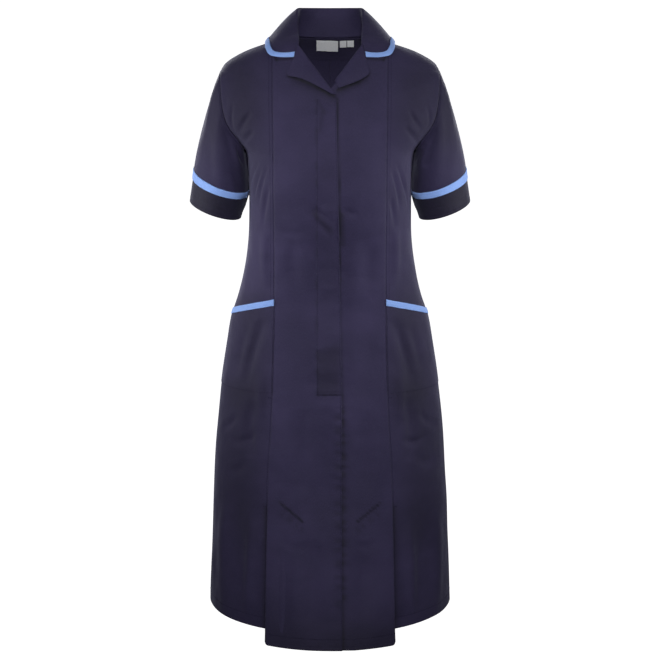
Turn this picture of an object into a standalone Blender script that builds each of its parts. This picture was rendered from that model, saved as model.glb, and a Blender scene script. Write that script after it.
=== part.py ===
"""Nurse uniform dress in its worn, hollow form: one closed solid for each cut piece of cloth.

Metres, +Z up. The front faces -Y and the wearer's left is at +X. The origin is midway between
the two neck ends of the shoulder seams.
"""
import math

import bmesh
import bpy
from mathutils import Vector

# Cloth and seams
CLOTH = 0.0015
TRIM = 0.0012
LABEL = 0.001
SEAM_GAP = 0.0003
SIDE_SEAM_SHARE = 0.6
LAYER_GAP = 0.0004
SHARP_ANGLE = 50.0

# Level rings of the body: height, half width, front depth, back depth, squareness of the curve.
# Between the shoulder tip and the underarm the rings run on past the armhole, which cuts them.
BODY = (
    # z, half_width, front, back, square
    (0.0000, 0.0730, 0.0580, 0.0580, 2.20),
    (-0.0040, 0.0875, 0.0635, 0.0625, 2.25),
    (-0.0080, 0.1000, 0.0670, 0.0655, 2.30),
    (-0.0140, 0.1160, 0.0705, 0.0690, 2.30),
    (-0.0210, 0.1350, 0.0745, 0.0730, 2.35),
    (-0.0280, 0.1520, 0.0785, 0.0768, 2.40),
    (-0.0350, 0.1660, 0.0825, 0.0800, 2.40),
    (-0.0420, 0.1780, 0.0858, 0.0830, 2.40),
    (-0.0490, 0.1865, 0.0885, 0.0855, 2.40),
    (-0.0565, 0.1915, 0.0915, 0.0880, 2.40),
    (-0.0660, 0.2000, 0.0945, 0.0908, 2.40),
    (-0.0785, 0.2075, 0.0985, 0.0938, 2.40),
    (-0.0960, 0.2125, 0.1035, 0.0965, 2.40),
    (-0.1165, 0.2135, 0.1080, 0.0985, 2.40),
    (-0.1375, 0.2070, 0.1125, 0.0998, 2.40),
    (-0.1565, 0.1920, 0.1165, 0.1004, 2.45),
    (-0.1725, 0.1745, 0.1190, 0.1006, 2.50),
    (-0.1850, 0.1618, 0.1210, 0.1005, 2.55),
    (-0.1945, 0.1535, 0.1225, 0.1002, 2.60),
    (-0.2000, 0.1500, 0.1232, 0.1000, 2.65),
    (-0.2200, 0.1462, 0.1250, 0.0988, 2.70),
    (-0.2600, 0.1450, 0.1260, 0.0948, 2.70),
    (-0.3000, 0.1455, 0.1210, 0.0890, 2.65),
    (-0.3400, 0.1465, 0.1130, 0.0820, 2.60),
    (-0.3800, 0.1498, 0.1045, 0.0768, 2.55),
    (-0.4200, 0.1562, 0.0995, 0.0750, 2.50),
    (-0.4600, 0.1660, 0.0985, 0.0782, 2.45),
    (-0.5000, 0.1785, 0.1012, 0.0868, 2.40),
    (-0.5500, 0.1875, 0.1080, 0.1010, 2.35),
    (-0.6200, 0.1985, 0.1160, 0.1165, 2.30),
    (-0.7000, 0.2075, 0.1275, 0.1285, 2.20),
    (-0.8000, 0.2155, 0.1410, 0.1410, 2.10),
    (-0.9000, 0.2205, 0.1580, 0.1570, 2.05),
    (-1.0460, 0.2270, 0.1880, 0.1880, 2.00),
    (-1.0700, 0.2280, 0.1930, 0.1930, 2.00),
)

# Armhole, from the shoulder tip to the underarm: how far out the seam lies at each height
ARMHOLE = (
    # z, x
    (-0.0565, 0.1915),
    (-0.0593, 0.1917),
    (-0.0660, 0.1918),
    (-0.0785, 0.1915),
    (-0.0960, 0.1902),
    (-0.1165, 0.1880),
    (-0.1375, 0.1842),
    (-0.1565, 0.1760),
    (-0.1725, 0.1655),
    (-0.1850, 0.1570),
    (-0.1945, 0.1520),
    (-0.1990, 0.1503),
    (-0.2000, 0.1500),
)

# Panel seam of the front: how far out it lies at each height
PANEL_SEAM = (
    # z, x
    (0.0000, 0.1000),
    (-0.0500, 0.0988),
    (-0.2000, 0.0978),
    (-0.4200, 0.0986),
    (-0.6200, 0.1025),
    (-0.7900, 0.1115),
    (-1.0700, 0.1172),
)

# Heights of the rows of points that the panels share
SHOULDER_ROWS = (-0.0082, -0.0115, -0.0165, -0.0230, -0.0310, -0.0390, -0.0480)
BODICE_ROWS = (-0.2140, -0.2360, -0.2640, -0.2980, -0.3360, -0.3760, -0.4160, -0.4460)
SKIRT_ROWS = (-0.6700, -0.7200, -0.7850, -0.8400, -0.9000, -0.9700)
SIDE_SPANS = 6
BACK_SPANS = 8
SIDE_HEM = -1.0460
CENTRE_HEM = -1.0620

# Patch pockets: the top edge falls towards the side seam
POCKET_ROWS = (-0.4560, -0.4675, -0.5000, -0.5400, -0.5820, -0.6240)
POCKET_FALL = 0.0320
POCKET_BAND_ROWS = 2

# Front edges: the right front laps over the left, which runs on under it
FRONT_EDGE = (
    # z, x
    (0.0000, 0.0085),
    (-0.0960, 0.0105),
    (-0.6500, 0.0205),
    (-1.0700, 0.0220),
)
UNDERLAP = -0.0235
UNDERLAP_DEPTH = 0.0024
UNDERLAP_START = -0.0500
UNDERLAP_RAMP = 0.0300
FRONT_COLUMNS = (0.0000, 0.0480, 0.0725)
NECKLINE = (
    # z, x
    (-0.0145, 0.0572),
    (-0.0082, 0.0622),
    (-0.0045, 0.0665),
    (-0.0010, 0.0710),
)
NECK_ROWS = (-0.0010, -0.0045)
PLACKET_TOP = -0.0995
PLACKET = 0.0010
PLACKET_FOOT = -0.6240

# Roll lines of the lapels, straight as seen from the front: from the collar to the foot of the V
ROLL_TOP = (0.0540, -0.0145)
ROLL_FOOT_RIGHT = (0.0095, -0.0960)
ROLL_FOOT_LEFT = (-0.0235, -0.1121)
LAPEL_FOOT_LEFT = (0.0064, -0.0745)
ROLL_RADIUS_TOP = 0.0020
ROLL_RADIUS_FOOT = 0.0013
ROLL_SETBACK = 0.0036
ROLL_START = 0.0006

# Outer edge of each lapel from the gorge by its point to its foot, beside the roll line's own way down
LAPEL_EDGE_RIGHT = (
    # share_of_roll, x, z
    (0.00, 0.0612, -0.0350),
    (0.18, 0.0670, -0.0480),
    (0.36, 0.0732, -0.0633),
    (0.55, 0.0490, -0.0695),
    (0.80, 0.0185, -0.0835),
    (1.00, -0.0065, -0.0966),
)
LAPEL_EDGE_LEFT = (
    # share_of_roll, x, z
    (0.00, 0.0600, -0.0350),
    (0.20, 0.0635, -0.0480),
    (0.42, 0.0668, -0.0600),
    (0.65, 0.0480, -0.0735),
    (0.85, 0.0265, -0.0812),
    (1.00, 0.0128, -0.0862),
)
LAPEL_FOOT_ROW = -0.0985
LAPEL_LIFT = 0.0016
LAPEL_SHARES = (0.0, 0.14, 0.28, 0.40, 0.56, 0.72, 0.86, 0.97)
ROLL_SHARE_STEP = 0.02
GORGE_GAP = 0.0009
FALL_BOW = 0.06
FALL_ROWS = 4
ROLL_TURNS = 4
ROLL_TOP_POINT = 4

# Collar, from the centre back to the gorge: neck seam, fold, outer edge as ring angle and height
COLLAR = (
    # seam x, y, z, fold x, y, z, edge_turn, edge_z, roll_radius
    (0.0000, 0.0619, -0.0054, 0.0000, 0.0690, 0.0465, 90.0, -0.0220, 0.0034),
    (0.0300, 0.0588, -0.0048, 0.0280, 0.0655, 0.0467, 70.0, -0.0213, 0.0034),
    (0.0530, 0.0495, -0.0030, 0.0460, 0.0545, 0.0470, 48.0, -0.0190, 0.0034),
    (0.0655, 0.0378, -0.0018, 0.0575, 0.0365, 0.0466, 30.0, -0.0155, 0.0034),
    (0.0722, 0.0205, -0.0006, 0.0592, 0.0180, 0.0395, 12.0, -0.0130, 0.0032),
    (0.0738, 0.0010, 0.0000, 0.0590, 0.0000, 0.0290, -7.0, -0.0130, 0.0030),
    (0.0706, -0.0185, -0.0012, 0.0577, -0.0180, 0.0165, -25.0, -0.0160, 0.0028),
    (0.0660, -0.0350, -0.0035, 0.0560, -0.0360, 0.0045, -42.0, -0.0235, 0.0026),
    (0.0602, -0.0468, -0.0076, 0.0546, -0.0515, -0.0036, -54.0, -0.0320, 0.0026),
    (0.0560, -0.0560, -0.0120, 0.0543, -0.0608, -0.0094, -63.0, -0.0350, 0.0023),
)
COLLAR_LIFT = 0.0024
BINDING_WIDTH = 0.0100

# Sleeve rings: outer and inner ends, set back from the side line, half depth and dip of the front
SLEEVE_RINGS = (
    # outer_x, outer_z, inner_x, inner_z, centre_y, half_depth, front_dip
    (0.2452, -0.2345, 0.1462, -0.2720, 0.0200, 0.0660, 0.0110),
    (0.2462, -0.2432, 0.1476, -0.2785, 0.0200, 0.0655, 0.0095),
    (0.2474, -0.2520, 0.1500, -0.2850, 0.0200, 0.0650, 0.0080),
    (0.2508, -0.2730, 0.1556, -0.3052, 0.0205, 0.0636, 0.0066),
    (0.2540, -0.2930, 0.1612, -0.3245, 0.0210, 0.0622, 0.0056),
)
# How the sleeve leaves the armhole, from the shoulder tip round to the underarm
SLEEVE_HEAD = (
    # turn, out_x, out_y, out_z, reach_from_armhole, reach_to_cuff
    (0.0, 0.450, 0.000, -0.890, 0.100, 0.120),
    (45.0, 0.650, -0.060, -0.760, 0.075, 0.125),
    (90.0, 0.840, -0.060, -0.540, 0.050, 0.130),
    (135.0, 0.760, 0.000, -0.650, 0.030, 0.060),
    (180.0, 0.220, 0.000, -0.975, 0.020, 0.025),
)
SLEEVE_STEPS = (0.0, 0.05, 0.14, 0.28, 0.44, 0.62, 0.81, 1.0)
ARMHOLE_GAP = 0.0008

# Kick pleats beside the centre panel, which stands forward of the side panels towards the hem
PLEAT_TOP = -0.7850
PLEAT_FORWARD = 0.0330
PLEAT_GROWTH = 1.3
PLEAT_DEPTH = 0.0350
PLEAT_ROWS = (-0.8320, -0.8800, -0.9300, -0.9850, -1.0425)
PLEAT_FOLD = 0.0012
PLEAT_TUCK = 0.0050
PLEAT_GAP = 0.0010
PLEAT_INSET = 0.0015

# Back neck facing and labels
BACK_NECK_TOP = -0.0010
BACK_NECK_DIP = 0.0050
BACK_NECK_ROWS = 4
FACING_START = 3.0
FACING_SPANS = 7
FACING_SHARES = (0.0, 0.33, 0.66, 1.0)
FACING_DEPTH = 0.0385
FACING_SIDE_DEPTH = 0.0110
FACING_CLOTH = 0.0010
FACING_GAP = 0.0009
LABEL_LIFT = -0.0040
LABEL_SPANS_DOWN = 2
LABEL_SPANS_ACROSS = 3
LABELS = (
    # name, centre_x, width, top, depth
    ("neck_label", -0.0055, 0.0390, -0.0085, 0.0205),
    ("size_tab_1", 0.0240, 0.0120, -0.0085, 0.0120),
    ("size_tab_2", 0.0375, 0.0120, -0.0085, 0.0120),
)

# Finishes: colour, roughness
FINISHES = {
    "navy_cloth": ((0.026, 0.021, 0.056, 1.0), 0.82),
    "blue_trim": ((0.190, 0.340, 0.760, 1.0), 0.70),
    "label_cloth": ((0.560, 0.570, 0.600, 1.0), 0.75),
}


def clear_scene():
    """Remove whatever the scene holds."""
    for scene_object in list(bpy.data.objects):
        bpy.data.objects.remove(scene_object, do_unlink=True)


def finish(name):
    """The named finish as a material, made once."""
    if name in bpy.data.materials:
        return bpy.data.materials[name]
    colour, roughness = FINISHES[name]
    material = bpy.data.materials.new(name)
    material.use_nodes = True
    shader = material.node_tree.nodes["Principled BSDF"]
    shader.inputs["Base Color"].default_value = colour
    shader.inputs["Roughness"].default_value = roughness
    shader.inputs["Metallic"].default_value = 0.0
    return material


def read_table(table, key, column):
    """Smooth value of a column at a key; rows are sorted by their first column either way."""
    rows = sorted(table)
    keys = [row[0] for row in rows]
    values = [row[column] for row in rows]
    if key <= keys[0]:
        return values[0]
    if key >= keys[-1]:
        return values[-1]
    last = len(rows) - 1
    step = max(i for i in range(last) if keys[i] <= key)
    slopes = [(values[i + 1] - values[i]) / (keys[i + 1] - keys[i]) for i in range(last)]

    def tangent(index):
        """Slope at a row, level where the values turn back."""
        if index in (0, last):
            return slopes[min(index, last - 1)]
        before, after = slopes[index - 1], slopes[index]
        if before * after <= 0:
            return 0.0
        return 2.0 * before * after / (before + after)

    width = keys[step + 1] - keys[step]
    t = (key - keys[step]) / width
    return (
        values[step] * (2 * t**3 - 3 * t**2 + 1)
        + values[step + 1] * (3 * t**2 - 2 * t**3)
        + tangent(step) * width * (t**3 - 2 * t**2 + t)
        + tangent(step + 1) * width * (t**3 - t**2)
    )


def ring_at(z):
    """Half width, front depth, back depth and squareness of the body at a height."""
    return tuple(read_table(BODY, z, column) for column in range(1, 5))


def body_point(turn, z):
    """Point of the body's surface: turn is -90 at the centre front, 0 at the side, 90 at the centre back."""
    half_width, front, back, square = ring_at(z)
    power = 2.0 / square
    cosine, sine = math.cos(math.radians(turn)), math.sin(math.radians(turn))
    depth = back if sine > 0 else front
    x = math.copysign(half_width * abs(cosine) ** power, cosine)
    y = math.copysign(depth * abs(sine) ** power, sine)
    return Vector((x, y, z))


def body_normal(turn, z):
    """Outward direction of the body's surface."""
    turn_step, z_step = 1.0, 0.002
    across = body_point(turn + turn_step, z) - body_point(turn - turn_step, z)
    along = body_point(turn, z + z_step) - body_point(turn, z - z_step)
    return across.cross(along).normalized()


def turn_from_x(x, z):
    """Turn of the front point that lies x out."""
    half_width, _, _, square = ring_at(z)
    share = min(abs(x) / half_width, 1.0)
    angle = math.degrees(math.acos(share ** (square / 2.0)))
    return -angle if x >= 0 else angle - 180.0


def turn_from_y(y, z):
    """Turn of the point beside the side line that lies y in front of it or behind it."""
    _, front, back, square = ring_at(z)
    depth = back if y > 0 else front
    angle = math.degrees(math.asin((abs(y) / depth) ** (square / 2.0)))
    return math.copysign(angle, y)


def panel_seam_x(z):
    """How far out the panel seam of the front lies at a height."""
    return read_table(PANEL_SEAM, z, 1)


def armhole_turn(z, side):
    """Turn of the armhole seam at a height, or of the seam beyond it; side is -1 in front."""
    tip, underarm = ARMHOLE[0][0], ARMHOLE[-1][0]
    seam_turn = turn_from_y(side * SEAM_GAP * SIDE_SEAM_SHARE, z)
    if z >= tip or z <= underarm:
        return seam_turn
    turn = side * abs(turn_from_x(read_table(ARMHOLE, z, 1), z))
    return min(turn, seam_turn) if side < 0 else max(turn, seam_turn)


def pleat_forward(z):
    """How far the centre panel stands forward of the body at a height."""
    if z >= PLEAT_TOP:
        return 0.0
    share = (PLEAT_TOP - z) / (PLEAT_TOP - CENTRE_HEM)
    return PLEAT_FORWARD * share**PLEAT_GROWTH


def front_point(x, z):
    """Point and normal of the centre front's surface."""
    turn = turn_from_x(x, z)
    point = body_point(turn, z) - Vector((0.0, pleat_forward(z), 0.0))
    return point, body_normal(turn, z)


def body_pair(turn, z):
    """Point and normal of the body's surface."""
    return body_point(turn, z), body_normal(turn, z)


def lifted(grid, distance):
    """The grid's points, each moved out along its own normal."""
    return [[point + normal * distance for point, normal in row] for row in grid]


def mirrored(rows):
    """The points on the wearer's right, in an order that keeps the faces the right way round."""
    return [[Vector((-point.x, point.y, point.z)) for point in reversed(row)] for row in rows]


def solid(name, outer, inner, finish_name, closed=False):
    """One closed solid between two grids of points, with rims along its open edges."""
    rows, columns = len(outer), len(outer[0])
    mesh = bpy.data.meshes.new(name)
    shape = bmesh.new()
    outside = [[shape.verts.new(point) for point in row] for row in outer]
    inside = [[shape.verts.new(point) for point in row] for row in inner]

    def quad(a, b, c, d):
        """Two triangles between four corners."""
        shape.faces.new((a, b, c))
        shape.faces.new((a, c, d))

    spans = columns if closed else columns - 1
    for i in range(rows - 1):
        for j in range(spans):
            k = (j + 1) % columns
            quad(outside[i][j], outside[i + 1][j], outside[i + 1][k], outside[i][k])
            quad(inside[i][j], inside[i][k], inside[i + 1][k], inside[i + 1][j])
    for j in range(spans):
        k = (j + 1) % columns
        quad(outside[0][j], outside[0][k], inside[0][k], inside[0][j])
        quad(outside[-1][k], outside[-1][j], inside[-1][j], inside[-1][k])
    if not closed:
        for i in range(rows - 1):
            quad(outside[i + 1][0], outside[i][0], inside[i][0], inside[i + 1][0])
            quad(outside[i][-1], outside[i + 1][-1], inside[i + 1][-1], inside[i][-1])
    bmesh.ops.recalc_face_normals(shape, faces=shape.faces)
    shape.to_mesh(mesh)
    shape.free()
    mesh.materials.append(finish(finish_name))
    mesh.shade_smooth()
    mesh.set_sharp_from_angle(angle=math.radians(SHARP_ANGLE))
    piece = bpy.data.objects.new(name, mesh)
    bpy.context.collection.objects.link(piece)
    return piece


def wall(name, grid, outer, inner, finish_name, side="left", closed=False):
    """A wall between two lifts of a grid of points and normals, on the wearer's left or right."""
    outside, inside = lifted(grid, outer), lifted(grid, inner)
    if side == "right":
        outside, inside = mirrored(outside), mirrored(inside)
    return solid(name, outside, inside, finish_name, closed)


def with_normals(points, closed=False):
    """A grid of points with the normals of the surface that they make."""
    rows, columns = len(points), len(points[0])
    grid = []
    for i in range(rows):
        row = []
        for j in range(columns):
            above, below = points[max(i - 1, 0)][j], points[min(i + 1, rows - 1)][j]
            if closed:
                before, after = points[i][j - 1], points[i][(j + 1) % columns]
            else:
                before, after = points[i][max(j - 1, 0)], points[i][min(j + 1, columns - 1)]
            row.append((points[i][j], (after - before).cross(above - below).normalized()))
        grid.append(row)
    return grid


def spread(start, end, count):
    """Even values from start to end, both taken in."""
    return [start + (end - start) * step / count for step in range(count + 1)]


def front_rows():
    """Heights of the rows of a centre front, with one at the foot of its lapel."""
    return (
        NECK_ROWS
        + SHOULDER_ROWS
        + tuple(z for z, _ in ARMHOLE if LAPEL_FOOT_ROW < z)
        + (LAPEL_FOOT_ROW,)
        + tuple(z for z, _ in ARMHOLE[:-2] if z < LAPEL_FOOT_ROW)
        + BODICE_ROWS
        + POCKET_ROWS
        + SKIRT_ROWS
        + (CENTRE_HEM,)
    )


def neckline_x(z, roll_foot):
    """How far out the inner edge of a front lies above its foot: the neckline, then the roll line."""
    top_x, top_z = ROLL_TOP
    if z > top_z:
        return read_table(NECKLINE, z, 1)
    share = (top_z - z) / (top_z - roll_foot[1])
    return top_x + (roll_foot[0] - top_x) * share + ROLL_SETBACK


def front_panel(side):
    """Centre front: rows down from the shoulder, columns from the front edge to the panel seam."""
    right = side == "right"
    foot_x, foot_z = ROLL_FOOT_RIGHT if right else ROLL_FOOT_LEFT
    foot = (-foot_x, foot_z) if right else (foot_x, foot_z)
    shares = None
    rows = []
    for z in reversed(front_rows()):
        edge = read_table(FRONT_EDGE, z, 1)
        if right:
            fixed = [-edge, FRONT_COLUMNS[0], -UNDERLAP, *FRONT_COLUMNS[1:]]
        else:
            fixed = [UNDERLAP, FRONT_COLUMNS[0], edge, *FRONT_COLUMNS[1:]]
        shoulder = body_point(turn_from_y(-SEAM_GAP * SIDE_SEAM_SHARE, z), z).x
        outer = min(panel_seam_x(z) - SEAM_GAP * 0.5, shoulder)
        if z < foot_z:
            line = fixed + [outer - PLEAT_DEPTH * 0.5, outer]
            shares = [(x - line[0]) / (outer - line[0]) for x in line]
        else:
            inner = neckline_x(z, foot)
            line = [inner + (outer - inner) * share for share in shares]
        row = []
        for x in line:
            point, normal = front_point(x, z)
            if not right:
                point = point + Vector((0.0, underlap_depth(x, z), 0.0))
            row.append((point, normal))
        rows.append(row)
    rows.reverse()
    return rows


def underlap_depth(x, z):
    """How far the left front lies behind the body's surface, to pass under the right one."""
    edge = read_table(FRONT_EDGE, z, 1)
    across = (FRONT_COLUMNS[1] - x) / (FRONT_COLUMNS[1] - edge)
    down = (UNDERLAP_START - z) / UNDERLAP_RAMP
    return UNDERLAP_DEPTH * min(max(across, 0.0), 1.0) * min(max(down, 0.0), 1.0)


def side_front_panel():
    """Side front: rows down from the shoulder, columns from the panel seam to the armhole and side seam."""
    heights = (
        SHOULDER_ROWS + tuple(z for z, _ in ARMHOLE) + BODICE_ROWS + POCKET_ROWS + SKIRT_ROWS + (SIDE_HEM,)
    )
    rows = []
    for height in heights:
        fall = POCKET_FALL * pocket_share(height)
        row = []
        for share in spread(0.0, 1.0, SIDE_SPANS):
            z = height - fall * share
            start = turn_from_x(panel_seam_x(z) + SEAM_GAP * 0.5, z)
            end = armhole_turn(z, -1)
            row.append(body_pair(start + (end - start) * share, z))
        rows.append(row)
    return rows


def pocket_share(z):
    """How much of the pocket top's slant the rows of the side front follow at a height."""
    above, top, below = BODICE_ROWS[-3], POCKET_ROWS[0], POCKET_ROWS[-1]
    if z >= above or z <= below:
        return 0.0
    if z >= top:
        return (above - z) / (above - top)
    return (z - below) / (top - below)


def back_panel():
    """Back: rows down from the neck, columns from the side seam and armhole to the centre back."""
    heights = (
        (0.0,)
        + SHOULDER_ROWS
        + tuple(z for z, _ in ARMHOLE)
        + BODICE_ROWS
        + POCKET_ROWS
        + SKIRT_ROWS
        + (SIDE_HEM,)
    )
    rows = []
    for index, height in enumerate(heights):
        row = []
        start, end = armhole_turn(height, 1), centre_back_turn(height)
        for turn in spread(start, end, BACK_SPANS):
            z = height
            if index == 0:
                z = back_neck(turn)
            elif index < BACK_NECK_ROWS:
                z = height + (back_neck(turn) - heights[1]) * (1 - index / BACK_NECK_ROWS)
            row.append(body_pair(turn, z))
        rows.append(row)
    return rows


def centre_back_turn(z):
    """Turn of the centre back seam at a height, half a gap off the middle."""
    half_width, _, _, square = ring_at(z)
    return math.degrees(math.acos((SEAM_GAP * 0.5 / half_width) ** (square / 2.0)))


def back_neck(turn):
    """Height of the back neckline."""
    return BACK_NECK_TOP - BACK_NECK_DIP * math.sin(math.radians(turn)) ** 2


def front_surface(x, z, right):
    """Point and normal of a front where its lapel turns back, on the wearer's left half."""
    point, normal = front_point(x, z)
    if not right:
        point = point + Vector((0.0, underlap_depth(x, z), 0.0))
    return point, normal


def rolled_section(seam, fold, edge, outward, along, radius):
    """Middle of the cloth from its seam up to a fold and down to its outer edge, bound or hemmed."""
    outward = (outward - along * outward.dot(along)).normalized()
    rise = along.cross(outward).normalized()
    if rise.dot(fold - seam) < 0:
        rise = -rise
    centre = fold - rise * radius
    reach = edge - centre
    out, up, drift = reach.dot(outward), reach.dot(rise), reach.dot(along)
    distance = math.hypot(out, up)
    leave = math.atan2(up, out) + math.acos(min(radius / distance, 1.0))
    start = centre - outward * radius
    points = [seam, seam + (start - seam) * 0.5]
    for angle in spread(math.pi, leave, ROLL_TURNS):
        points.append(centre + outward * (math.cos(angle) * radius) + rise * (math.sin(angle) * radius))
    top = points[-1]
    fall = edge - top
    bow = fall.cross(along).normalized()
    if bow.dot(outward) < 0:
        bow = -bow
    band = 1.0 - BINDING_WIDTH / fall.length
    for share in spread(0.0, band, FALL_ROWS - 1)[1:]:
        points.append(top + fall * share + bow * (FALL_BOW * fall.length * math.sin(math.pi * share)))
    points.append(edge)
    return points


def roll_line(share, right):
    """Point and normal of a front on its lapel's roll line: share is 0 at the gorge and 1 at the foot."""
    foot_x, foot_z = ROLL_FOOT_RIGHT if right else LAPEL_FOOT_LEFT
    foot_x = -foot_x if right else foot_x
    top_x, top_z = ROLL_TOP
    return front_surface(top_x + (foot_x - top_x) * share, top_z + (foot_z - top_z) * share, right)


def turned_back(share, right, lift):
    """Section of what turns back over a front at a share of its roll line, and the way along that line."""
    table = LAPEL_EDGE_RIGHT if right else LAPEL_EDGE_LEFT
    radius = ROLL_RADIUS_TOP + (ROLL_RADIUS_FOOT - ROLL_RADIUS_TOP) * share
    point, outward = roll_line(share, right)
    before, after = roll_line(share - ROLL_SHARE_STEP, right)[0], roll_line(share + ROLL_SHARE_STEP, right)[0]
    along = (after - before).normalized()
    fold = point + outward * (radius - CLOTH * 0.5)
    edge_point, edge_normal = front_surface(read_table(table, share, 1), read_table(table, share, 2), right)
    edge = edge_point + edge_normal * lift
    rise = along.cross(outward).normalized()
    if rise.x > 0:
        rise = -rise
    seam = fold - rise * (radius + ROLL_START) - outward * radius
    return rolled_section(seam, fold, edge, outward, along, radius), along


def lapel(side):
    """Lapel: rows down its roll line, columns across over the fold to its outer edge."""
    sections = [turned_back(share, side == "right", LAPEL_LIFT)[0] for share in LAPEL_SHARES]
    return with_normals(sections)


def collar_columns():
    """Half of the collar, from the centre back to the gorge, each section from the neck seam to the edge."""
    sections = []
    for index, row in enumerate(COLLAR):
        seam, fold = Vector(row[0:3]), Vector(row[3:6])
        turn, edge_z, radius = row[6:9]
        before = Vector(COLLAR[index - 1][3:6]) if index else Vector((-COLLAR[1][3], *COLLAR[1][4:6]))
        after = Vector(COLLAR[index + 1][3:6]) if index + 1 < len(COLLAR) else collar_gorge()[ROLL_TOP_POINT]
        along = (after - before).normalized()
        level = Vector((fold.x, fold.y, 0.0)).normalized()
        normal = body_normal(turn_from_x(fold.x, min(fold.z, -0.001)), min(fold.z, -0.001))
        weight = (index / len(COLLAR)) ** 2
        outward = level * (1.0 - weight) + normal * weight if fold.y < 0 else level
        edge = body_point(turn, edge_z) + body_normal(turn, edge_z) * COLLAR_LIFT
        sections.append(rolled_section(seam, fold, edge, outward, along, radius))
    sections.append(collar_gorge())
    return sections


def collar_gorge():
    """The collar's front end, which meets the lapel's top."""
    section, along = turned_back(0.0, True, COLLAR_LIFT)
    return [point - along * GORGE_GAP for point in section]


def collar():
    """Whole collar: columns from the wearer's right gorge round the back to the left one."""
    half = collar_columns()
    other = [[Vector((-point.x, point.y, point.z)) for point in section] for section in half[:0:-1]]
    columns = other + half
    points = [[column[row] for column in columns] for row in range(len(half[0]))]
    return with_normals(points)


def sleeve_ring(index, turn):
    """Point of a sleeve ring: turn is 0 at the outer end and goes round by the back."""
    outer_x, outer_z, inner_x, inner_z, centre_y, half_depth, dip = SLEEVE_RINGS[index]
    angle = math.radians(turn)
    across, around = math.cos(angle), math.sin(angle)
    x = (outer_x + inner_x) / 2 + (outer_x - inner_x) / 2 * across
    z = (outer_z + inner_z) / 2 + (outer_z - inner_z) / 2 * across + dip * around
    return Vector((x, centre_y + half_depth * around, z))


def sleeve_grid():
    """Sleeve and cuff as one run of rings from the armhole to the hem."""
    count = 2 * (len(ARMHOLE) - 1)
    heights = [z for z, _ in ARMHOLE]
    columns = []
    for index in range(count):
        turn = 360.0 * index / count
        back = index <= count / 2
        height = heights[index] if back else heights[count - index]
        round_by = turn if back else 360.0 - turn
        hand = 1.0 if back else -1.0
        leave = Vector((
            read_table(SLEEVE_HEAD, round_by, 1),
            -hand * read_table(SLEEVE_HEAD, round_by, 2),
            read_table(SLEEVE_HEAD, round_by, 3),
        )).normalized()
        at_end = index in (0, count // 2)
        seam_turn = 0.0 if at_end else armhole_turn(height, hand)
        start = body_point(seam_turn, height) + leave * ARMHOLE_GAP
        end = sleeve_ring(0, turn)
        start_pull = leave * read_table(SLEEVE_HEAD, round_by, 4)
        end_pull = (sleeve_ring(1, turn) - end).normalized() * read_table(SLEEVE_HEAD, round_by, 5)
        column = [hermite(start, start_pull, end, end_pull, t) for t in SLEEVE_STEPS]
        middle = sleeve_ring(1, turn)
        down = (sleeve_ring(2, turn) - middle).normalized()
        column.append(middle - down * SEAM_GAP * 0.5)
        column.append(middle + down * SEAM_GAP * 0.5)
        column.extend(sleeve_ring(ring, turn) for ring in range(2, len(SLEEVE_RINGS)))
        columns.append(column)
    points = [[column[row] for column in columns] for row in range(len(columns[0]))]
    return with_normals(points, closed=True)


def hermite(start, start_pull, end, end_pull, t):
    """Point of the curve that leaves the start and meets the end along the two pulls."""
    return (
        start * (2 * t**3 - 3 * t**2 + 1)
        + start_pull * (t**3 - 2 * t**2 + t)
        + end * (3 * t**2 - 2 * t**3)
        + end_pull * (t**3 - t**2)
    )


def placket_grid():
    """Concealed placket on the right front, on the wearer's left half until it is mirrored."""
    heights = (PLACKET_TOP,) + tuple(z for z in front_rows() if PLACKET_FOOT <= z < PLACKET_TOP)
    rows = []
    for z in heights:
        edge = read_table(FRONT_EDGE, z, 1)
        rows.append([front_point(x, z) for x in (-edge, FRONT_COLUMNS[0], -UNDERLAP)])
    return rows


def pocket_grid():
    """The rows of the side front that the pocket covers."""
    panel = side_front_panel()
    first = len(SHOULDER_ROWS) + len(ARMHOLE) + len(BODICE_ROWS)
    return panel[first : first + len(POCKET_ROWS)]


def pleat_grid():
    """Pleat return: inwards behind the centre panel, round its fold and out behind the side panel."""
    behind = -(CLOTH + PLEAT_GAP + CLOTH * 0.5)
    rows = []
    for z in PLEAT_ROWS:
        seam = panel_seam_x(z)

        def centre(x, lift, height=z):
            """Place behind the centre panel."""
            point, normal = front_point(x, height)
            return point + normal * lift

        fold_x = seam - PLEAT_DEPTH
        back = centre(fold_x, behind - 2 * PLEAT_FOLD)
        knee_turn, end_turn = [turn_from_x(x, z) for x in (seam - PLEAT_TUCK, seam + PLEAT_TUCK)]
        knee = body_point(knee_turn, z) + body_normal(knee_turn, z) * behind
        end = body_point(end_turn, z) + body_normal(end_turn, z) * behind
        rows.append([
            centre(seam - PLEAT_INSET, behind),
            centre(seam - PLEAT_DEPTH * 0.5, behind),
            centre(fold_x, behind),
            centre(fold_x - PLEAT_FOLD, behind - PLEAT_FOLD),
            back,
            back + (knee - back) * 0.5,
            knee,
            end,
        ])
    return with_normals(rows)


def facing_grid():
    """Back neck facing, from the wearer's left shoulder round the back to the right one."""
    turns = spread(FACING_START, 90.0, FACING_SPANS)
    rows = []
    for share in FACING_SHARES:
        half = []
        for turn in turns:
            weight = math.sin(math.radians(turn)) ** 2
            depth = FACING_SIDE_DEPTH + (FACING_DEPTH - FACING_SIDE_DEPTH) * weight
            half.append(body_pair(turn, back_neck(turn) - 2 * SEAM_GAP - depth * share))
        other = [
            (Vector((-point.x, point.y, point.z)), Vector((-normal.x, normal.y, normal.z)))
            for point, normal in reversed(half[:-1])
        ]
        rows.append(half + other)
    return rows


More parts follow.
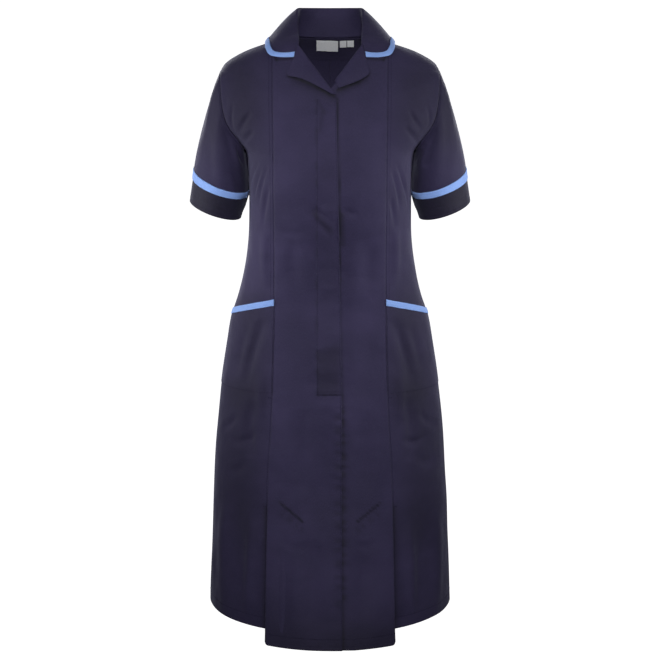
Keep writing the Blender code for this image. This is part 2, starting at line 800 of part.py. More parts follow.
def label_grid(centre, width, top, depth):
    """A label that hangs inside the back neck."""
    rows = []
    for z in spread(top, top - depth, LABEL_SPANS_DOWN):
        row = []
        for x in spread(centre + width / 2, centre - width / 2, LABEL_SPANS_ACROSS):
            turn = -turn_from_x(abs(x), z)
            row.append(body_pair(turn if x > 0 else 180.0 - turn, z))
        rows.append(row)
    return rows


def make_body_panels(side):
    """The three panels of one half of the body."""
    wall(f"front_{side}", front_panel(side), 0.0, -CLOTH, "navy_cloth", side)
    wall(f"side_front_{side}", side_front_panel(), 0.0, -CLOTH, "navy_cloth", side)
    wall(f"back_{side}", back_panel(), 0.0, -CLOTH, "navy_cloth", side)


def make_sleeve(side):
    """Sleeve, cuff and the trim over the seam between them."""
    grid = sleeve_grid()
    steps = len(SLEEVE_STEPS)
    wall(f"sleeve_{side}", grid[: steps + 1], 0.0, -CLOTH, "navy_cloth", side, closed=True)
    wall(f"cuff_{side}", grid[steps + 1 :], 0.0, -CLOTH, "navy_cloth", side, closed=True)
    band = [grid[steps - 1], grid[steps], grid[steps + 2]]
    wall(f"sleeve_trim_{side}", band, LAYER_GAP + TRIM, LAYER_GAP, "blue_trim", side, closed=True)


def make_pocket(side):
    """Patch pocket and its top band."""
    grid = pocket_grid()
    top = LAYER_GAP + CLOTH
    wall(f"pocket_{side}", grid, top, LAYER_GAP, "navy_cloth", side)
    band = grid[:POCKET_BAND_ROWS]
    wall(f"pocket_trim_{side}", band, top + LAYER_GAP + TRIM, top + LAYER_GAP, "blue_trim", side)


def make_neck():
    """Collar with its binding, lapels, back neck facing and labels."""
    whole = collar()
    half = CLOTH * 0.5
    wall("collar", whole, half, -half, "navy_cloth")
    edge = whole[-2:]
    point, normal = edge[1][len(edge[1]) // 2]
    sign = 1.0 if normal.y > 0 else -1.0
    near = sign * (half + LAYER_GAP)
    far = sign * (half + LAYER_GAP + TRIM)
    wall("collar_trim", edge, far, near, "blue_trim")
    for side in ("right", "left"):
        wall(f"lapel_{side}", lapel(side), half, -half, "navy_cloth", side)
    inside = -(CLOTH + FACING_GAP)
    wall("back_neck_facing", facing_grid(), inside, inside - FACING_CLOTH, "navy_cloth")
    for name, centre, width, top, depth in LABELS:
        grid = label_grid(centre, width, top, depth)
        wall(name, grid, LABEL_LIFT, LABEL_LIFT - LABEL, "label_cloth")


def main():
    """Make every piece."""
    clear_scene()
    for side in ("right", "left"):
        make_body_panels(side)
        make_sleeve(side)
        make_pocket(side)
        half = CLOTH * 0.5
        wall(f"pleat_{side}", pleat_grid(), half, -half, "navy_cloth", side)
    wall("front_placket", placket_grid(), LAYER_GAP + PLACKET, LAYER_GAP, "navy_cloth", "right")
    make_neck()


main()
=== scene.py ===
"""Nurse uniform dress in dark navy twill with light blue trim, in its worn and hollow form.

Metres, +Z up. The front faces -Y and the wearer's left is at +X. Each piece of cloth is a thin shell on
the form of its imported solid, with its own creases, seams and stitches.
"""
import logging
import math
from dataclasses import dataclass, field
from enum import Enum
from typing import Any, Iterable, Sequence

import bpy
import numpy as np
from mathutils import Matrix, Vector

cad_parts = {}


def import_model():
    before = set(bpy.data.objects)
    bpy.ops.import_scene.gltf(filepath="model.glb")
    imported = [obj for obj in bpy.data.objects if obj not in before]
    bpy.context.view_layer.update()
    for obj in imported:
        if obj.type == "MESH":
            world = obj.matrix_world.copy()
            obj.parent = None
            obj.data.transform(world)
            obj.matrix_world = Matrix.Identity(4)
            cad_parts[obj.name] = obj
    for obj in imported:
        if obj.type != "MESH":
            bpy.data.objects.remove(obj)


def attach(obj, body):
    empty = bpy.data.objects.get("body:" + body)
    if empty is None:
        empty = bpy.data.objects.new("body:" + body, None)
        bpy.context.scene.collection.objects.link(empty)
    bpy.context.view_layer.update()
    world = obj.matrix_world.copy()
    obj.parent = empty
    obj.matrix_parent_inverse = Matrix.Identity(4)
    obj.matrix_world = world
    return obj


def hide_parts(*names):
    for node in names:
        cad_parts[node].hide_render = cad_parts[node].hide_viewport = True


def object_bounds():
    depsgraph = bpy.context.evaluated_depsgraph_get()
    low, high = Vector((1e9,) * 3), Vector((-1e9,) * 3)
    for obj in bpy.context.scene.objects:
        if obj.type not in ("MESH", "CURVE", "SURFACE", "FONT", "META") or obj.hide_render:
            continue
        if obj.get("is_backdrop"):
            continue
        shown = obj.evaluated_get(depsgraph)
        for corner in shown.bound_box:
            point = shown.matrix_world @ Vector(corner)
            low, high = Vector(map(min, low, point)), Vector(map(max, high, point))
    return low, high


LOG = logging.getLogger("dress")

Array = np.ndarray
Rows = tuple[tuple[float, ...], ...]
Colour = tuple[float, float, float, float]

CLOTH = 0.0011
TRIM = 0.0008
LAYER_GAP = 0.0004
ROW_STEP = 0.0042
COLUMN_STEP = 0.0042
SIDE_HEM = -1.0460
CENTRE_HEM = -1.0620
FAR = 1.0
NECK_TOP = -0.0010
SHOULDER_TIP = -0.0565
UNDERARM = -0.2000
EDGE_ROLL = 0.0030
TRIM_ROLL = 0.0022
TRIM_STITCH = 0.0016
DEEPEST_SHADE = 0.95
TROUGH_RIM = 0.7
TROUGH_ENDS = 0.7
MIRROR = np.array((-1.0, 1.0, 1.0))
WHITE = (1.0, 1.0, 1.0, 1.0)


class Side(Enum):
    """Wearer's side, with the sign of its X."""

    RIGHT = -1
    LEFT = 1

    @property
    def flip(self) -> Array:
        """What turns a place on the wearer's left into one on this side."""
        return np.array((self.value, 1.0, 1.0))

    @property
    def word(self) -> str:
        """Side as it stands in a node's name."""
        return self.name.lower()


class Face(Enum):
    """Half of the body that a crease lies on, with the sign of its Y."""

    FRONT = -1
    BACK = 1


class Edge(Enum):
    """Edge of a grid."""

    START = "start"
    END = "end"
    TOP = "top"
    BOTTOM = "bottom"

    @property
    def mirrored(self) -> "Edge":
        """Edge that this one becomes on the other side of the body."""
        return {Edge.START: Edge.END, Edge.END: Edge.START}.get(self, self)


class Held(Enum):
    """How a sheet of cloth is held."""

    HUNG = "hung"
    LAID = "laid"
    FOLDED = "folded"


def hermite(t: Array, start: Array, end: Array, leaving: Array, arriving: Array) -> Array:
    """Smooth way from a start to an end.

    Args:
        t: how far along, from 0 to 1.
        start: value at 0.
        end: value at 1.
        leaving: slope at 0.
        arriving: slope at 1.

    Returns:
        The values at t.
    """
    return (
        start * (2 * t**3 - 3 * t**2 + 1)
        + end * (3 * t**2 - 2 * t**3)
        + leaving * (t**3 - 2 * t**2 + t)
        + arriving * (t**3 - t**2)
    )


@dataclass(frozen=True)
class Curve:
    """Smooth values between the rows of a short table whose first column is the key."""

    rows: Rows

    def at(self, key: Array | float, column: int = 1) -> Array:
        """Value of a column at each key.

        Args:
            key: where to read the table.
            column: which column to read.

        Returns:
            The values, held level past either end.
        """
        rows = np.array(sorted(self.rows), dtype=float)
        keys, values = rows[:, 0], rows[:, column]
        slopes = np.diff(values) / np.diff(keys)
        before, after = slopes[:-1], slopes[1:]
        same = before * after > 0
        total = np.where(same, before + after, 1.0)
        inner = np.where(same, 2.0 * before * after / total, 0.0)
        tangents = np.concatenate(([slopes[0]], inner, [slopes[-1]]))
        wanted = np.clip(np.asarray(key, dtype=float), keys[0], keys[-1])
        step = np.clip(np.searchsorted(keys, wanted, side="right") - 1, 0, len(slopes) - 1)
        width = keys[step + 1] - keys[step]
        t = (wanted - keys[step]) / width
        return hermite(t, values[step], values[step + 1], tangents[step] * width, tangents[step + 1] * width)


def unit(vectors: Array) -> Array:
    """Vectors of length one along the last axis."""
    return vectors / np.maximum(np.linalg.norm(vectors, axis=-1, keepdims=True), 1e-12)


def smooth(value: Array, low: float, high: float) -> Array:
    """Soft step from 0 at low to 1 at high."""
    share = np.clip((value - low) / (high - low), 0.0, 1.0)
    return share * share * (3.0 - 2.0 * share)


def uneven(turn: Array, phase: float = 0.0) -> Array:
    """Wave from -1 to 1 whose turns come faster and slower."""
    return np.sin(turn + 1.3 * np.sin(turn * 0.37 + phase))


def spaced(start: float, end: float, step: float) -> Array:
    """Even values from start to end, both taken in, no further apart than step."""
    return np.linspace(start, end, max(int(math.ceil(abs(end - start) / step)), 1) + 1)


@dataclass(frozen=True)
class Figure:
    """General figure that the dress is cut for, as level rings, with the seams that lie on it."""

    rings: Curve = Curve((
        # z, half_width, front, back, square
        (0.0000, 0.0730, 0.0580, 0.0580, 2.20),
        (-0.0040, 0.0875, 0.0635, 0.0625, 2.25),
        (-0.0080, 0.1000, 0.0670, 0.0655, 2.30),
        (-0.0140, 0.1160, 0.0705, 0.0690, 2.30),
        (-0.0210, 0.1350, 0.0745, 0.0730, 2.35),
        (-0.0280, 0.1520, 0.0785, 0.0768, 2.40),
        (-0.0350, 0.1660, 0.0825, 0.0800, 2.40),
        (-0.0420, 0.1780, 0.0858, 0.0830, 2.40),
        (-0.0490, 0.1865, 0.0885, 0.0855, 2.40),
        (-0.0565, 0.1915, 0.0915, 0.0880, 2.40),
        (-0.0660, 0.2000, 0.0945, 0.0908, 2.40),
        (-0.0785, 0.2075, 0.0985, 0.0938, 2.40),
        (-0.0960, 0.2125, 0.1035, 0.0965, 2.40),
        (-0.1165, 0.2135, 0.1080, 0.0985, 2.40),
        (-0.1375, 0.2070, 0.1125, 0.0998, 2.40),
        (-0.1565, 0.1920, 0.1165, 0.1004, 2.45),
        (-0.1725, 0.1745, 0.1190, 0.1006, 2.50),
        (-0.1850, 0.1618, 0.1210, 0.1005, 2.55),
        (-0.1945, 0.1535, 0.1225, 0.1002, 2.60),
        (-0.2000, 0.1500, 0.1232, 0.1000, 2.65),
        (-0.2200, 0.1462, 0.1250, 0.0988, 2.70),
        (-0.2600, 0.1450, 0.1260, 0.0948, 2.70),
        (-0.3000, 0.1455, 0.1210, 0.0890, 2.65),
        (-0.3400, 0.1465, 0.1130, 0.0820, 2.60),
        (-0.3800, 0.1498, 0.1045, 0.0768, 2.55),
        (-0.4200, 0.1562, 0.0995, 0.0750, 2.50),
        (-0.4600, 0.1660, 0.0985, 0.0782, 2.45),
        (-0.5000, 0.1785, 0.1012, 0.0868, 2.40),
        (-0.5500, 0.1875, 0.1080, 0.1010, 2.35),
        (-0.6200, 0.1985, 0.1160, 0.1165, 2.30),
        (-0.7000, 0.2075, 0.1275, 0.1285, 2.20),
        (-0.8000, 0.2155, 0.1410, 0.1410, 2.10),
        (-0.9000, 0.2205, 0.1580, 0.1570, 2.05),
        (-1.0460, 0.2270, 0.1880, 0.1880, 2.00),
        (-1.0700, 0.2280, 0.1930, 0.1930, 2.00),
    ))
    armhole: Curve = Curve((
        # z, x
        (SHOULDER_TIP, 0.1915),
        (-0.0593, 0.1917),
        (-0.0660, 0.1918),
        (-0.0785, 0.1915),
        (-0.0960, 0.1902),
        (-0.1165, 0.1880),
        (-0.1375, 0.1842),
        (-0.1565, 0.1760),
        (-0.1725, 0.1655),
        (-0.1850, 0.1570),
        (-0.1945, 0.1520),
        (-0.1990, 0.1503),
        (UNDERARM, 0.1500),
    ))
    panel_seam: Curve = Curve((
        # z, x
        (0.0000, 0.1000),
        (-0.0500, 0.0988),
        (-0.2000, 0.0978),
        (-0.4200, 0.0986),
        (-0.6200, 0.1025),
        (-0.7900, 0.1115),
        (-1.0700, 0.1172),
    ))
    front_edge: Curve = Curve((
        # z, x
        (0.0000, 0.0085),
        (-0.0960, 0.0105),
        (-0.6500, 0.0205),
        (-1.0700, 0.0220),
    ))
    neck_dip: float = 0.0050
    pleat_top: float = -0.7850
    pleat_forward: float = 0.0330
    pleat_growth: float = 1.3
    turn_step: float = 1.0
    height_step: float = 0.002

    def point(self, turn: Array | float, z: Array | float) -> Array:
        """Points of the surface.

        Args:
            turn: degrees round, -90 at the centre front, 0 at the side and 90 at the centre back.
            z: heights.

        Returns:
            Points, with x, y and z along the last axis.
        """
        turn, z = np.broadcast_arrays(np.radians(np.asarray(turn, float)), np.asarray(z, float))
        half_width, front, back, square = (self.rings.at(z, column) for column in range(1, 5))
        power = 2.0 / square
        cosine, sine = np.cos(turn), np.sin(turn)
        depth = np.where(sine > 0, back, front)
        x = np.copysign(half_width * np.abs(cosine) ** power, cosine)
        y = np.copysign(depth * np.abs(sine) ** power, sine)
        return np.stack((x, y, z), axis=-1)

    def normal(self, turn: Array | float, z: Array | float) -> Array:
        """Outward directions of the surface.

        Args:
            turn: degrees round.
            z: heights.

        Returns:
            Directions of length one.
        """
        turn, z = np.asarray(turn, float), np.asarray(z, float)
        across = self.point(turn + self.turn_step, z) - self.point(turn - self.turn_step, z)
        along = self.point(turn, z + self.height_step) - self.point(turn, z - self.height_step)
        return unit(np.cross(across, along))

    def turn_at_x(self, x: Array | float, z: Array | float, face: Face = Face.FRONT) -> Array:
        """Turns of the points of one face that lie x out.

        Args:
            x: how far to the wearer's left.
            z: heights.
            face: front or back of the body.

        Returns:
            Turns in degrees, level with the side line where x lies past it.
        """
        x, z = np.broadcast_arrays(np.asarray(x, float), np.asarray(z, float))
        share = np.minimum(np.abs(x) / self.rings.at(z, 1), 1.0)
        angle = np.degrees(np.arccos(share ** (self.rings.at(z, 4) / 2.0)))
        return face.value * np.where(x >= 0, angle, 180.0 - angle)

    def forward(self, z: Array | float) -> Array:
        """How far the centre front stands before the body at each height."""
        share = np.clip((self.pleat_top - np.asarray(z, float)) / (self.pleat_top - CENTRE_HEM), 0.0, None)
        return self.pleat_forward * share**self.pleat_growth

    def front(self, x: Array | float, z: Array | float) -> tuple[Array, Array]:
        """Points and outward directions of the centre front.

        Args:
            x: how far to the wearer's left.
            z: heights.

        Returns:
            The points, moved forward over the pleats, and the directions.
        """
        turn = self.turn_at_x(x, z)
        points = self.point(turn, z)
        points[..., 1] -= self.forward(points[..., 2])
        return points, self.normal(turn, z)

    def back_neck(self, turn: Array) -> Array:
        """Heights of the back neckline."""
        return NECK_TOP - self.neck_dip * np.sin(np.radians(turn)) ** 2

    def armhole_turn(self, z: Array, face: Face) -> Array:
        """Turns of the armhole at each height, or of the side and shoulder seam past its ends.

        Args:
            z: heights.
            face: front or back half of the armhole.

        Returns:
            Turns in degrees.
        """
        turn = face.value * np.abs(self.turn_at_x(self.armhole.at(z), z))
        return np.where((z >= SHOULDER_TIP) | (z <= UNDERARM), 0.0, turn)


@dataclass
class Grid:
    """Rows and columns of points with their outward directions, and how far creases will move them out.

    A closed grid repeats its first column.
    """

    points: Array
    normals: Array
    closed: bool = False
    relief: Array | float = 0.0

    @classmethod
    def through(cls, points: Array, closed: bool = False) -> "Grid":
        """Grid through points whose outward directions come from the surface that they make.

        Args:
            points: rows and columns of points.
            closed: whether the last column repeats the first one.

        Returns:
            The grid.
        """
        down = np.gradient(points, axis=0)
        across = np.gradient(points, axis=1)
        if closed:
            across[:, 0] = across[:, -1] = points[:, 1] - points[:, -2]
        return cls(points, unit(np.cross(across, -down)), closed)

    def moved(self, distance: Array | float) -> "Grid":
        """Grid with each point moved out by a distance, and its outward directions found again.

        Args:
            distance: how far, for the whole or for each point; the relief is added to it.

        Returns:
            The moved grid.
        """
        distance = np.broadcast_to(np.asarray(distance + self.relief, float), self.points.shape[:2])
        points = self.points + self.normals * distance[..., None]
        fresh = Grid.through(points, self.closed)
        turned = np.sum(fresh.normals * self.normals, axis=-1, keepdims=True)
        normals = np.where(turned < 0, -fresh.normals, fresh.normals)
        return Grid(points, normals, self.closed)

    def mirrored(self) -> "Grid":
        """Grid on the other side of the body."""
        relief = np.broadcast_to(self.relief, self.points.shape[:2])[:, ::-1]
        return Grid(self.points[:, ::-1] * MIRROR, self.normals[:, ::-1] * MIRROR, self.closed, relief)

    def cut(self, rows: slice) -> "Grid":
        """Some of the grid's rows."""
        relief = np.broadcast_to(self.relief, self.points.shape[:2])[rows]
        return Grid(self.points[rows], self.normals[rows], self.closed, relief)

    def across(self) -> Array:
        """Distance of each point from its row's start, along the cloth."""
        steps = np.linalg.norm(np.diff(self.points, axis=1), axis=-1)
        return np.concatenate((np.zeros((len(steps), 1)), np.cumsum(steps, axis=1)), axis=1)

    def down(self) -> Array:
        """Distance of each point from its column's top, along the cloth."""
        steps = np.linalg.norm(np.diff(self.points, axis=0), axis=-1)
        return np.concatenate((np.zeros((1, steps.shape[1])), np.cumsum(steps, axis=0)), axis=0)

    def distance(self, *edges: Edge) -> Array:
        """Distance of each point from the nearest of some edges, along the cloth.

        Args:
            edges: which edges to measure from.

        Returns:
            The distances, never above FAR.
        """
        across, down = self.across(), self.down()
        options = {
            Edge.START: across,
            Edge.END: across[:, -1:] - across,
            Edge.TOP: down,
            Edge.BOTTOM: down[-1:] - down,
        }
        return np.min([np.full(across.shape, FAR), *(options[edge] for edge in edges)], axis=0)

    def turned_in(self, edges: Iterable[Edge], drop: float, width: float = EDGE_ROLL) -> Array:
        """How far the cloth moves out, below 0, where it turns in by a drop at some edges."""
        return -drop * (1.0 - smooth(self.distance(*edges), 0.0, width))

    def area(self) -> float:
        """Area of the cloth."""
        one = self.points[1:, 1:] - self.points[:-1, :-1]
        other = self.points[1:, :-1] - self.points[:-1, 1:]
        return float(np.linalg.norm(np.cross(one, other), axis=-1).sum() / 2)

    def line(self, edge: Edge, inset: float) -> "Line":
        """Line along one edge of the cloth.

        Args:
            edge: which edge.
            inset: how far from it the line runs.

        Returns:
            The line, without the rows or columns that are shorter than its inset.
        """
        lengths, cloth = self.distance(edge), np.concatenate((self.points, self.normals), axis=-1)
        if edge in (Edge.TOP, Edge.BOTTOM):
            lengths, cloth = lengths.T, cloth.swapaxes(0, 1)
        found = []
        for length, places in zip(lengths, cloth):
            if length.max() >= inset:
                order = np.argsort(length)
                found.append([np.interp(inset, length[order], column) for column in places[order].T])
        places = np.array(found).reshape(-1, 6)
        return Line(places[:, :3], unit(places[:, 3:]))


@dataclass
class Line:
    """Line along the cloth, with the cloth's outward direction at each of its points."""

    points: Array
    normals: Array

    def between(self, low: float, high: float) -> "Line":
        """Part of the line between two heights."""
        kept = (self.points[:, 2] >= low) & (self.points[:, 2] <= high)
        return Line(self.points[kept], self.normals[kept])

    def spaced(self, step: float) -> tuple[Array, Array, Array]:
        """Points, directions along and outward directions at even steps.

        Args:
            step: how far apart.

        Returns:
            The points, the directions along the line and the outward directions.
        """
        steps = np.linalg.norm(np.diff(self.points, axis=0), axis=-1)
        length = np.concatenate(([0.0], np.cumsum(steps)))
        at = np.arange(step / 2, length[-1], step)
        points = np.stack([np.interp(at, length, self.points[:, i]) for i in range(3)], axis=-1)
        normals = unit(np.stack([np.interp(at, length, self.normals[:, i]) for i in range(3)], axis=-1))
        along = unit(np.gradient(points, axis=0)) if len(points) > 1 else np.zeros_like(points)
        return points, along, normals


def refined(points: Array, axis: int, parts: Sequence[int]) -> Array:
    """Smooth curve through points along one axis of a grid.

    Args:
        points: grid of points.
        axis: axis to add points along, 0 or 1.
        parts: how many parts each gap between two points is cut into.

    Returns:
        The finer grid.
    """
    grid = points.swapaxes(0, axis)
    gaps = np.maximum(np.linalg.norm(np.diff(grid, axis=0), axis=-1, keepdims=True), 1e-9)
    slopes = np.diff(grid, axis=0) / gaps
    inner = (slopes[:-1] * gaps[1:] + slopes[1:] * gaps[:-1]) / (gaps[1:] + gaps[:-1])
    tangents = np.concatenate((slopes[:1], inner, slopes[-1:]))
    rows = []
    for i, count in enumerate(parts):
        leaving, arriving = tangents[i] * gaps[i], tangents[i + 1] * gaps[i]
        rows += [hermite(t, grid[i], grid[i + 1], leaving, arriving) for t in np.arange(count) / count]
    rows.append(grid[-1])
    return np.array(rows).swapaxes(0, axis)


@dataclass(frozen=True)
class Crease:
    """Soft trough along a bent line over the body, or a ridge where its depth is below 0."""

    face: Face
    start: tuple[float, float]
    middle: tuple[float, float]
    end: tuple[float, float]
    width: float
    depth: float
    samples: int = 14

    def path(self, figure: Figure) -> Array:
        """Points of the line on the figure.

        Args:
            figure: body that the line lies on.

        Returns:
            Points from its start to its end.
        """
        t = np.linspace(0.0, 1.0, self.samples)[:, None]
        start, middle, end = (np.array(corner) for corner in (self.start, self.middle, self.end))
        pull = 2 * middle - (start + end) / 2
        flat = start * (1 - t) ** 2 + pull * 2 * t * (1 - t) + end * t**2
        return figure.point(figure.turn_at_x(flat[:, 0], flat[:, 1], self.face), flat[:, 1])


def trough(points: Array, path: Array, width: float, depth: float) -> Array:
    """How far a trough along a path moves each point out.

    Args:
        points: where the cloth lies without it.
        path: points along the bottom of the trough.
        width: how far from the path it is a third as deep.
        depth: how deep it is, below 0 for a ridge.

    Returns:
        The distance for each point, below 0 in the trough.
    """
    shape = points.shape[:-1]
    flat = points.reshape(-1, 3)
    nearest = np.full(len(flat), FAR)
    share = np.zeros(len(flat))
    spans = len(path) - 1
    for i in range(spans):
        leg = path[i + 1] - path[i]
        along = np.clip((flat - path[i]) @ leg / max(float(leg @ leg), 1e-12), 0.0, 1.0)
        distance = np.linalg.norm(flat - path[i] - along[:, None] * leg, axis=1)
        closer = distance < nearest
        nearest = np.where(closer, distance, nearest)
        share = np.where(closer, (i + along) / spans, share)
    reach = (nearest / width) ** 2
    ends = np.sin(np.pi * np.clip(share, 0.0, 1.0)) ** TROUGH_ENDS
    return (-depth * (1.0 - TROUGH_RIM * reach) * np.exp(-reach) * ends).reshape(shape)


@dataclass(frozen=True)
class Pucker:
    """Small ripples that a line of stitches draws up across itself, on one face of the body."""

    face: Face
    start: tuple[float, float]
    end: tuple[float, float]
    width: float
    depth: float
    pitch: float
    outside: float = 0.002
    inside: float = 0.010

    def at(self, points: Array) -> Array:
        """How far the ripples move each of the body's points out.

        Args:
            points: places on the body.

        Returns:
            A distance for each point.
        """
        start, end = np.array(self.start), np.array(self.end)
        leg = end - start
        length = float(np.linalg.norm(leg))
        flat = points[..., (0, 2)] - start
        along = flat @ leg / length
        beside = (flat @ np.array((leg[1], -leg[0]))) / length
        ends = smooth(along, -self.outside, self.inside) * smooth(length - along, -self.outside, self.inside)
        turn = 2 * math.pi * along / self.pitch
        ripple = np.sin(turn + 1.7 * np.sin(turn * 0.31) + np.sign(beside) * 0.8)
        rising = 0.65 + 0.35 * np.sin(turn * 0.137 + 1.0)
        on_face = (points[..., 1] * self.face.value > 0).astype(float)
        return on_face * self.depth * ends * rising * ripple * np.exp(-np.abs(beside) / self.width)


@dataclass(frozen=True)
class Shade:
    """Painted shade: deeper colour of the cloth along a line, standing in for shadow, laid out as seen from
    the front.
    """

    on: str | tuple[str, ...]
    start: tuple[float, float]
    end: tuple[float, float]
    width: float
    amount: float
    pitch: float
    least: float = 0.35
    swing: float = 0.8

    def at(self, points: Array) -> Array:
        """Share of the painted shade at each point.

        Args:
            points: places on the cloth.

        Returns:
            Shares from 0; a line with a pitch comes and goes along its length.
        """
        start, leg = np.array(self.start), np.array(self.end) - np.array(self.start)
        flat = points[:, (0, 2)] - start
        along = np.clip(flat @ leg / float(leg @ leg), 0.0, 1.0)
        distance = np.linalg.norm(flat - along[:, None] * leg, axis=1)
        amount = self.amount
        if self.pitch:
            turn = along * float(np.linalg.norm(leg)) * 2 * math.pi / self.pitch
            amount = self.amount * np.clip(self.least + self.swing * uneven(turn), 0.0, 1.0)
        return amount * np.exp(-((distance / self.width) ** 2))


@dataclass(frozen=True)
class Drape:
    """How the cloth of the body lies: its listed creases and how it settles between them."""

    figure: Figure
    creases: tuple[Crease, ...]
    puckers: tuple[Pucker, ...]
    settling: float = 0.00028
    waves: Rows = (
        # across_x, across_y, down_z, phase
        (31.0, 23.0, 9.0, 0.4),
        (-47.0, 29.0, 17.0, 1.9),
        (19.0, -41.0, -26.0, 3.3),
        (59.0, 37.0, 11.0, 5.0),
        (-23.0, -17.0, 38.0, 0.9),
    )

    def at(self, points: Array) -> Array:
        """How far the cloth is moved out at each of the body's points.

        Args:
            points: places on the body.

        Returns:
            A distance for each point.
        """
        total = np.zeros(points.shape[:-1])
        for across_x, across_y, down_z, phase in self.waves:
            turn = points[..., 0] * across_x + points[..., 1] * across_y + points[..., 2] * down_z + phase
            total += uneven(turn, phase) * self.settling
        for crease in self.creases:
            total += trough(points, crease.path(self.figure), crease.width, crease.depth)
        for pucker in self.puckers:
            total += pucker.at(points)
        return total


class Signal:
    """Output socket of a shader node, for sums written as Python expressions."""

    def __init__(self, shader: "Shader", socket: bpy.types.NodeSocket) -> None:
        """Signal of a socket in a shader."""
        self.shader = shader
        self.socket = socket

    def _maths(self, operation: str, *values: Any) -> "Signal":
        """Math node on this signal and other values."""
        return self.shader.add("ShaderNodeMath", {"operation": operation}, dict(enumerate(values)))[0]

    def __add__(self, other: Any) -> "Signal":
        """Sum."""
        return self._maths("ADD", self, other)

    __radd__ = __add__

    def __sub__(self, other: Any) -> "Signal":
        """Difference."""
        return self._maths("SUBTRACT", self, other)

    def __rsub__(self, other: Any) -> "Signal":
        """Difference the other way round."""
        return self._maths("SUBTRACT", other, self)

    def __mul__(self, other: Any) -> "Signal":
        """Product."""
        return self._maths("MULTIPLY", self, other)

    __rmul__ = __mul__

    def sine(self) -> "Signal":
        """Sine."""
        return self._maths("SINE", self)

    def step(self, low: float, high: float) -> "Signal":
        """Soft step.

        Args:
            low: where it leaves 0.
            high: where it reaches 1.

        Returns:
            The stepped signal.
        """
        return self.shader.add(
            "ShaderNodeMapRange",
            {"interpolation_type": "SMOOTHSTEP"},
            {"Value": self, "From Min": low, "From Max": high},
        )[0]

    def band(self, centre: float, width: float) -> "Signal":
        """1 at a centre, falling softly to 0 at a width to either side."""
        away = self - centre
        return 1.0 - away._maths("ABSOLUTE", away).step(0.0, width)


class Shader:
    """Node tree of one material."""

    def __init__(self, name: str) -> None:
        """New material with its first nodes.

        Args:
            name: the material's name.
        """
        self.material = bpy.data.materials.new(name)
        self.material.use_nodes = True
        self.tree = self.material.node_tree
        self.surface = self.tree.nodes["Principled BSDF"]

    def add(
        self, kind: str, settings: dict[str, Any] | None = None, inputs: dict[Any, Any] | None = None
    ) -> list[Signal]:
        """New node.

        Args:
            kind: its type.
            settings: its properties, set before its inputs.
            inputs: values or signals, by socket name or number.

        Returns:
            Its outputs.
        """
        node = self.tree.nodes.new(kind)
        for key, value in (settings or {}).items():
            setattr(node, key, value)
        for key, value in (inputs or {}).items():
            self.feed(node.inputs[key], value)
        return [Signal(self, socket) for socket in node.outputs if socket.enabled]

    def feed(self, socket: bpy.types.NodeSocket, value: Any) -> None:
        """Link a signal to a socket, or set the socket's value.

        Args:
            socket: input of a node.
            value: signal, number or colour.
        """
        if isinstance(value, Signal):
            self.tree.links.new(value.socket, socket)
        else:
            socket.default_value = value

    def noise(
        self, place: Signal, scale: float, detail: float, stretch: Sequence[float] = (1.0, 1.0, 1.0)
    ) -> Signal:
        """Noise from 0 to 1 over a place, stretched along its axes."""
        mapped = self.add("ShaderNodeMapping", None, {"Vector": place, "Scale": Vector(stretch)})[0]
        return self.add("ShaderNodeTexNoise", None, {"Vector": mapped, "Scale": scale, "Detail": detail})[0]

    def blend(self, share: Signal, first: Any, second: Any) -> Signal:
        """Colour between two colours.

        Args:
            share: how much of the second colour.
            first: colour or signal at 0.
            second: colour or signal at 1.

        Returns:
            The mixed colour.
        """
        node = self.tree.nodes.new("ShaderNodeMix")
        node.data_type = "RGBA"
        for number, value in ((0, share), (6, first), (7, second)):
            self.feed(node.inputs[number], value)
        return Signal(self, node.outputs[2])

    def finished(self, values: dict[str, Any]) -> bpy.types.Material:
        """The material, with inputs of its surface set or linked.

        Args:
            values: numbers, colours or signals by input name.

        Returns:
            The material.
        """
        for key, value in values.items():
            self.feed(self.surface.inputs[key], value)
        return self.material


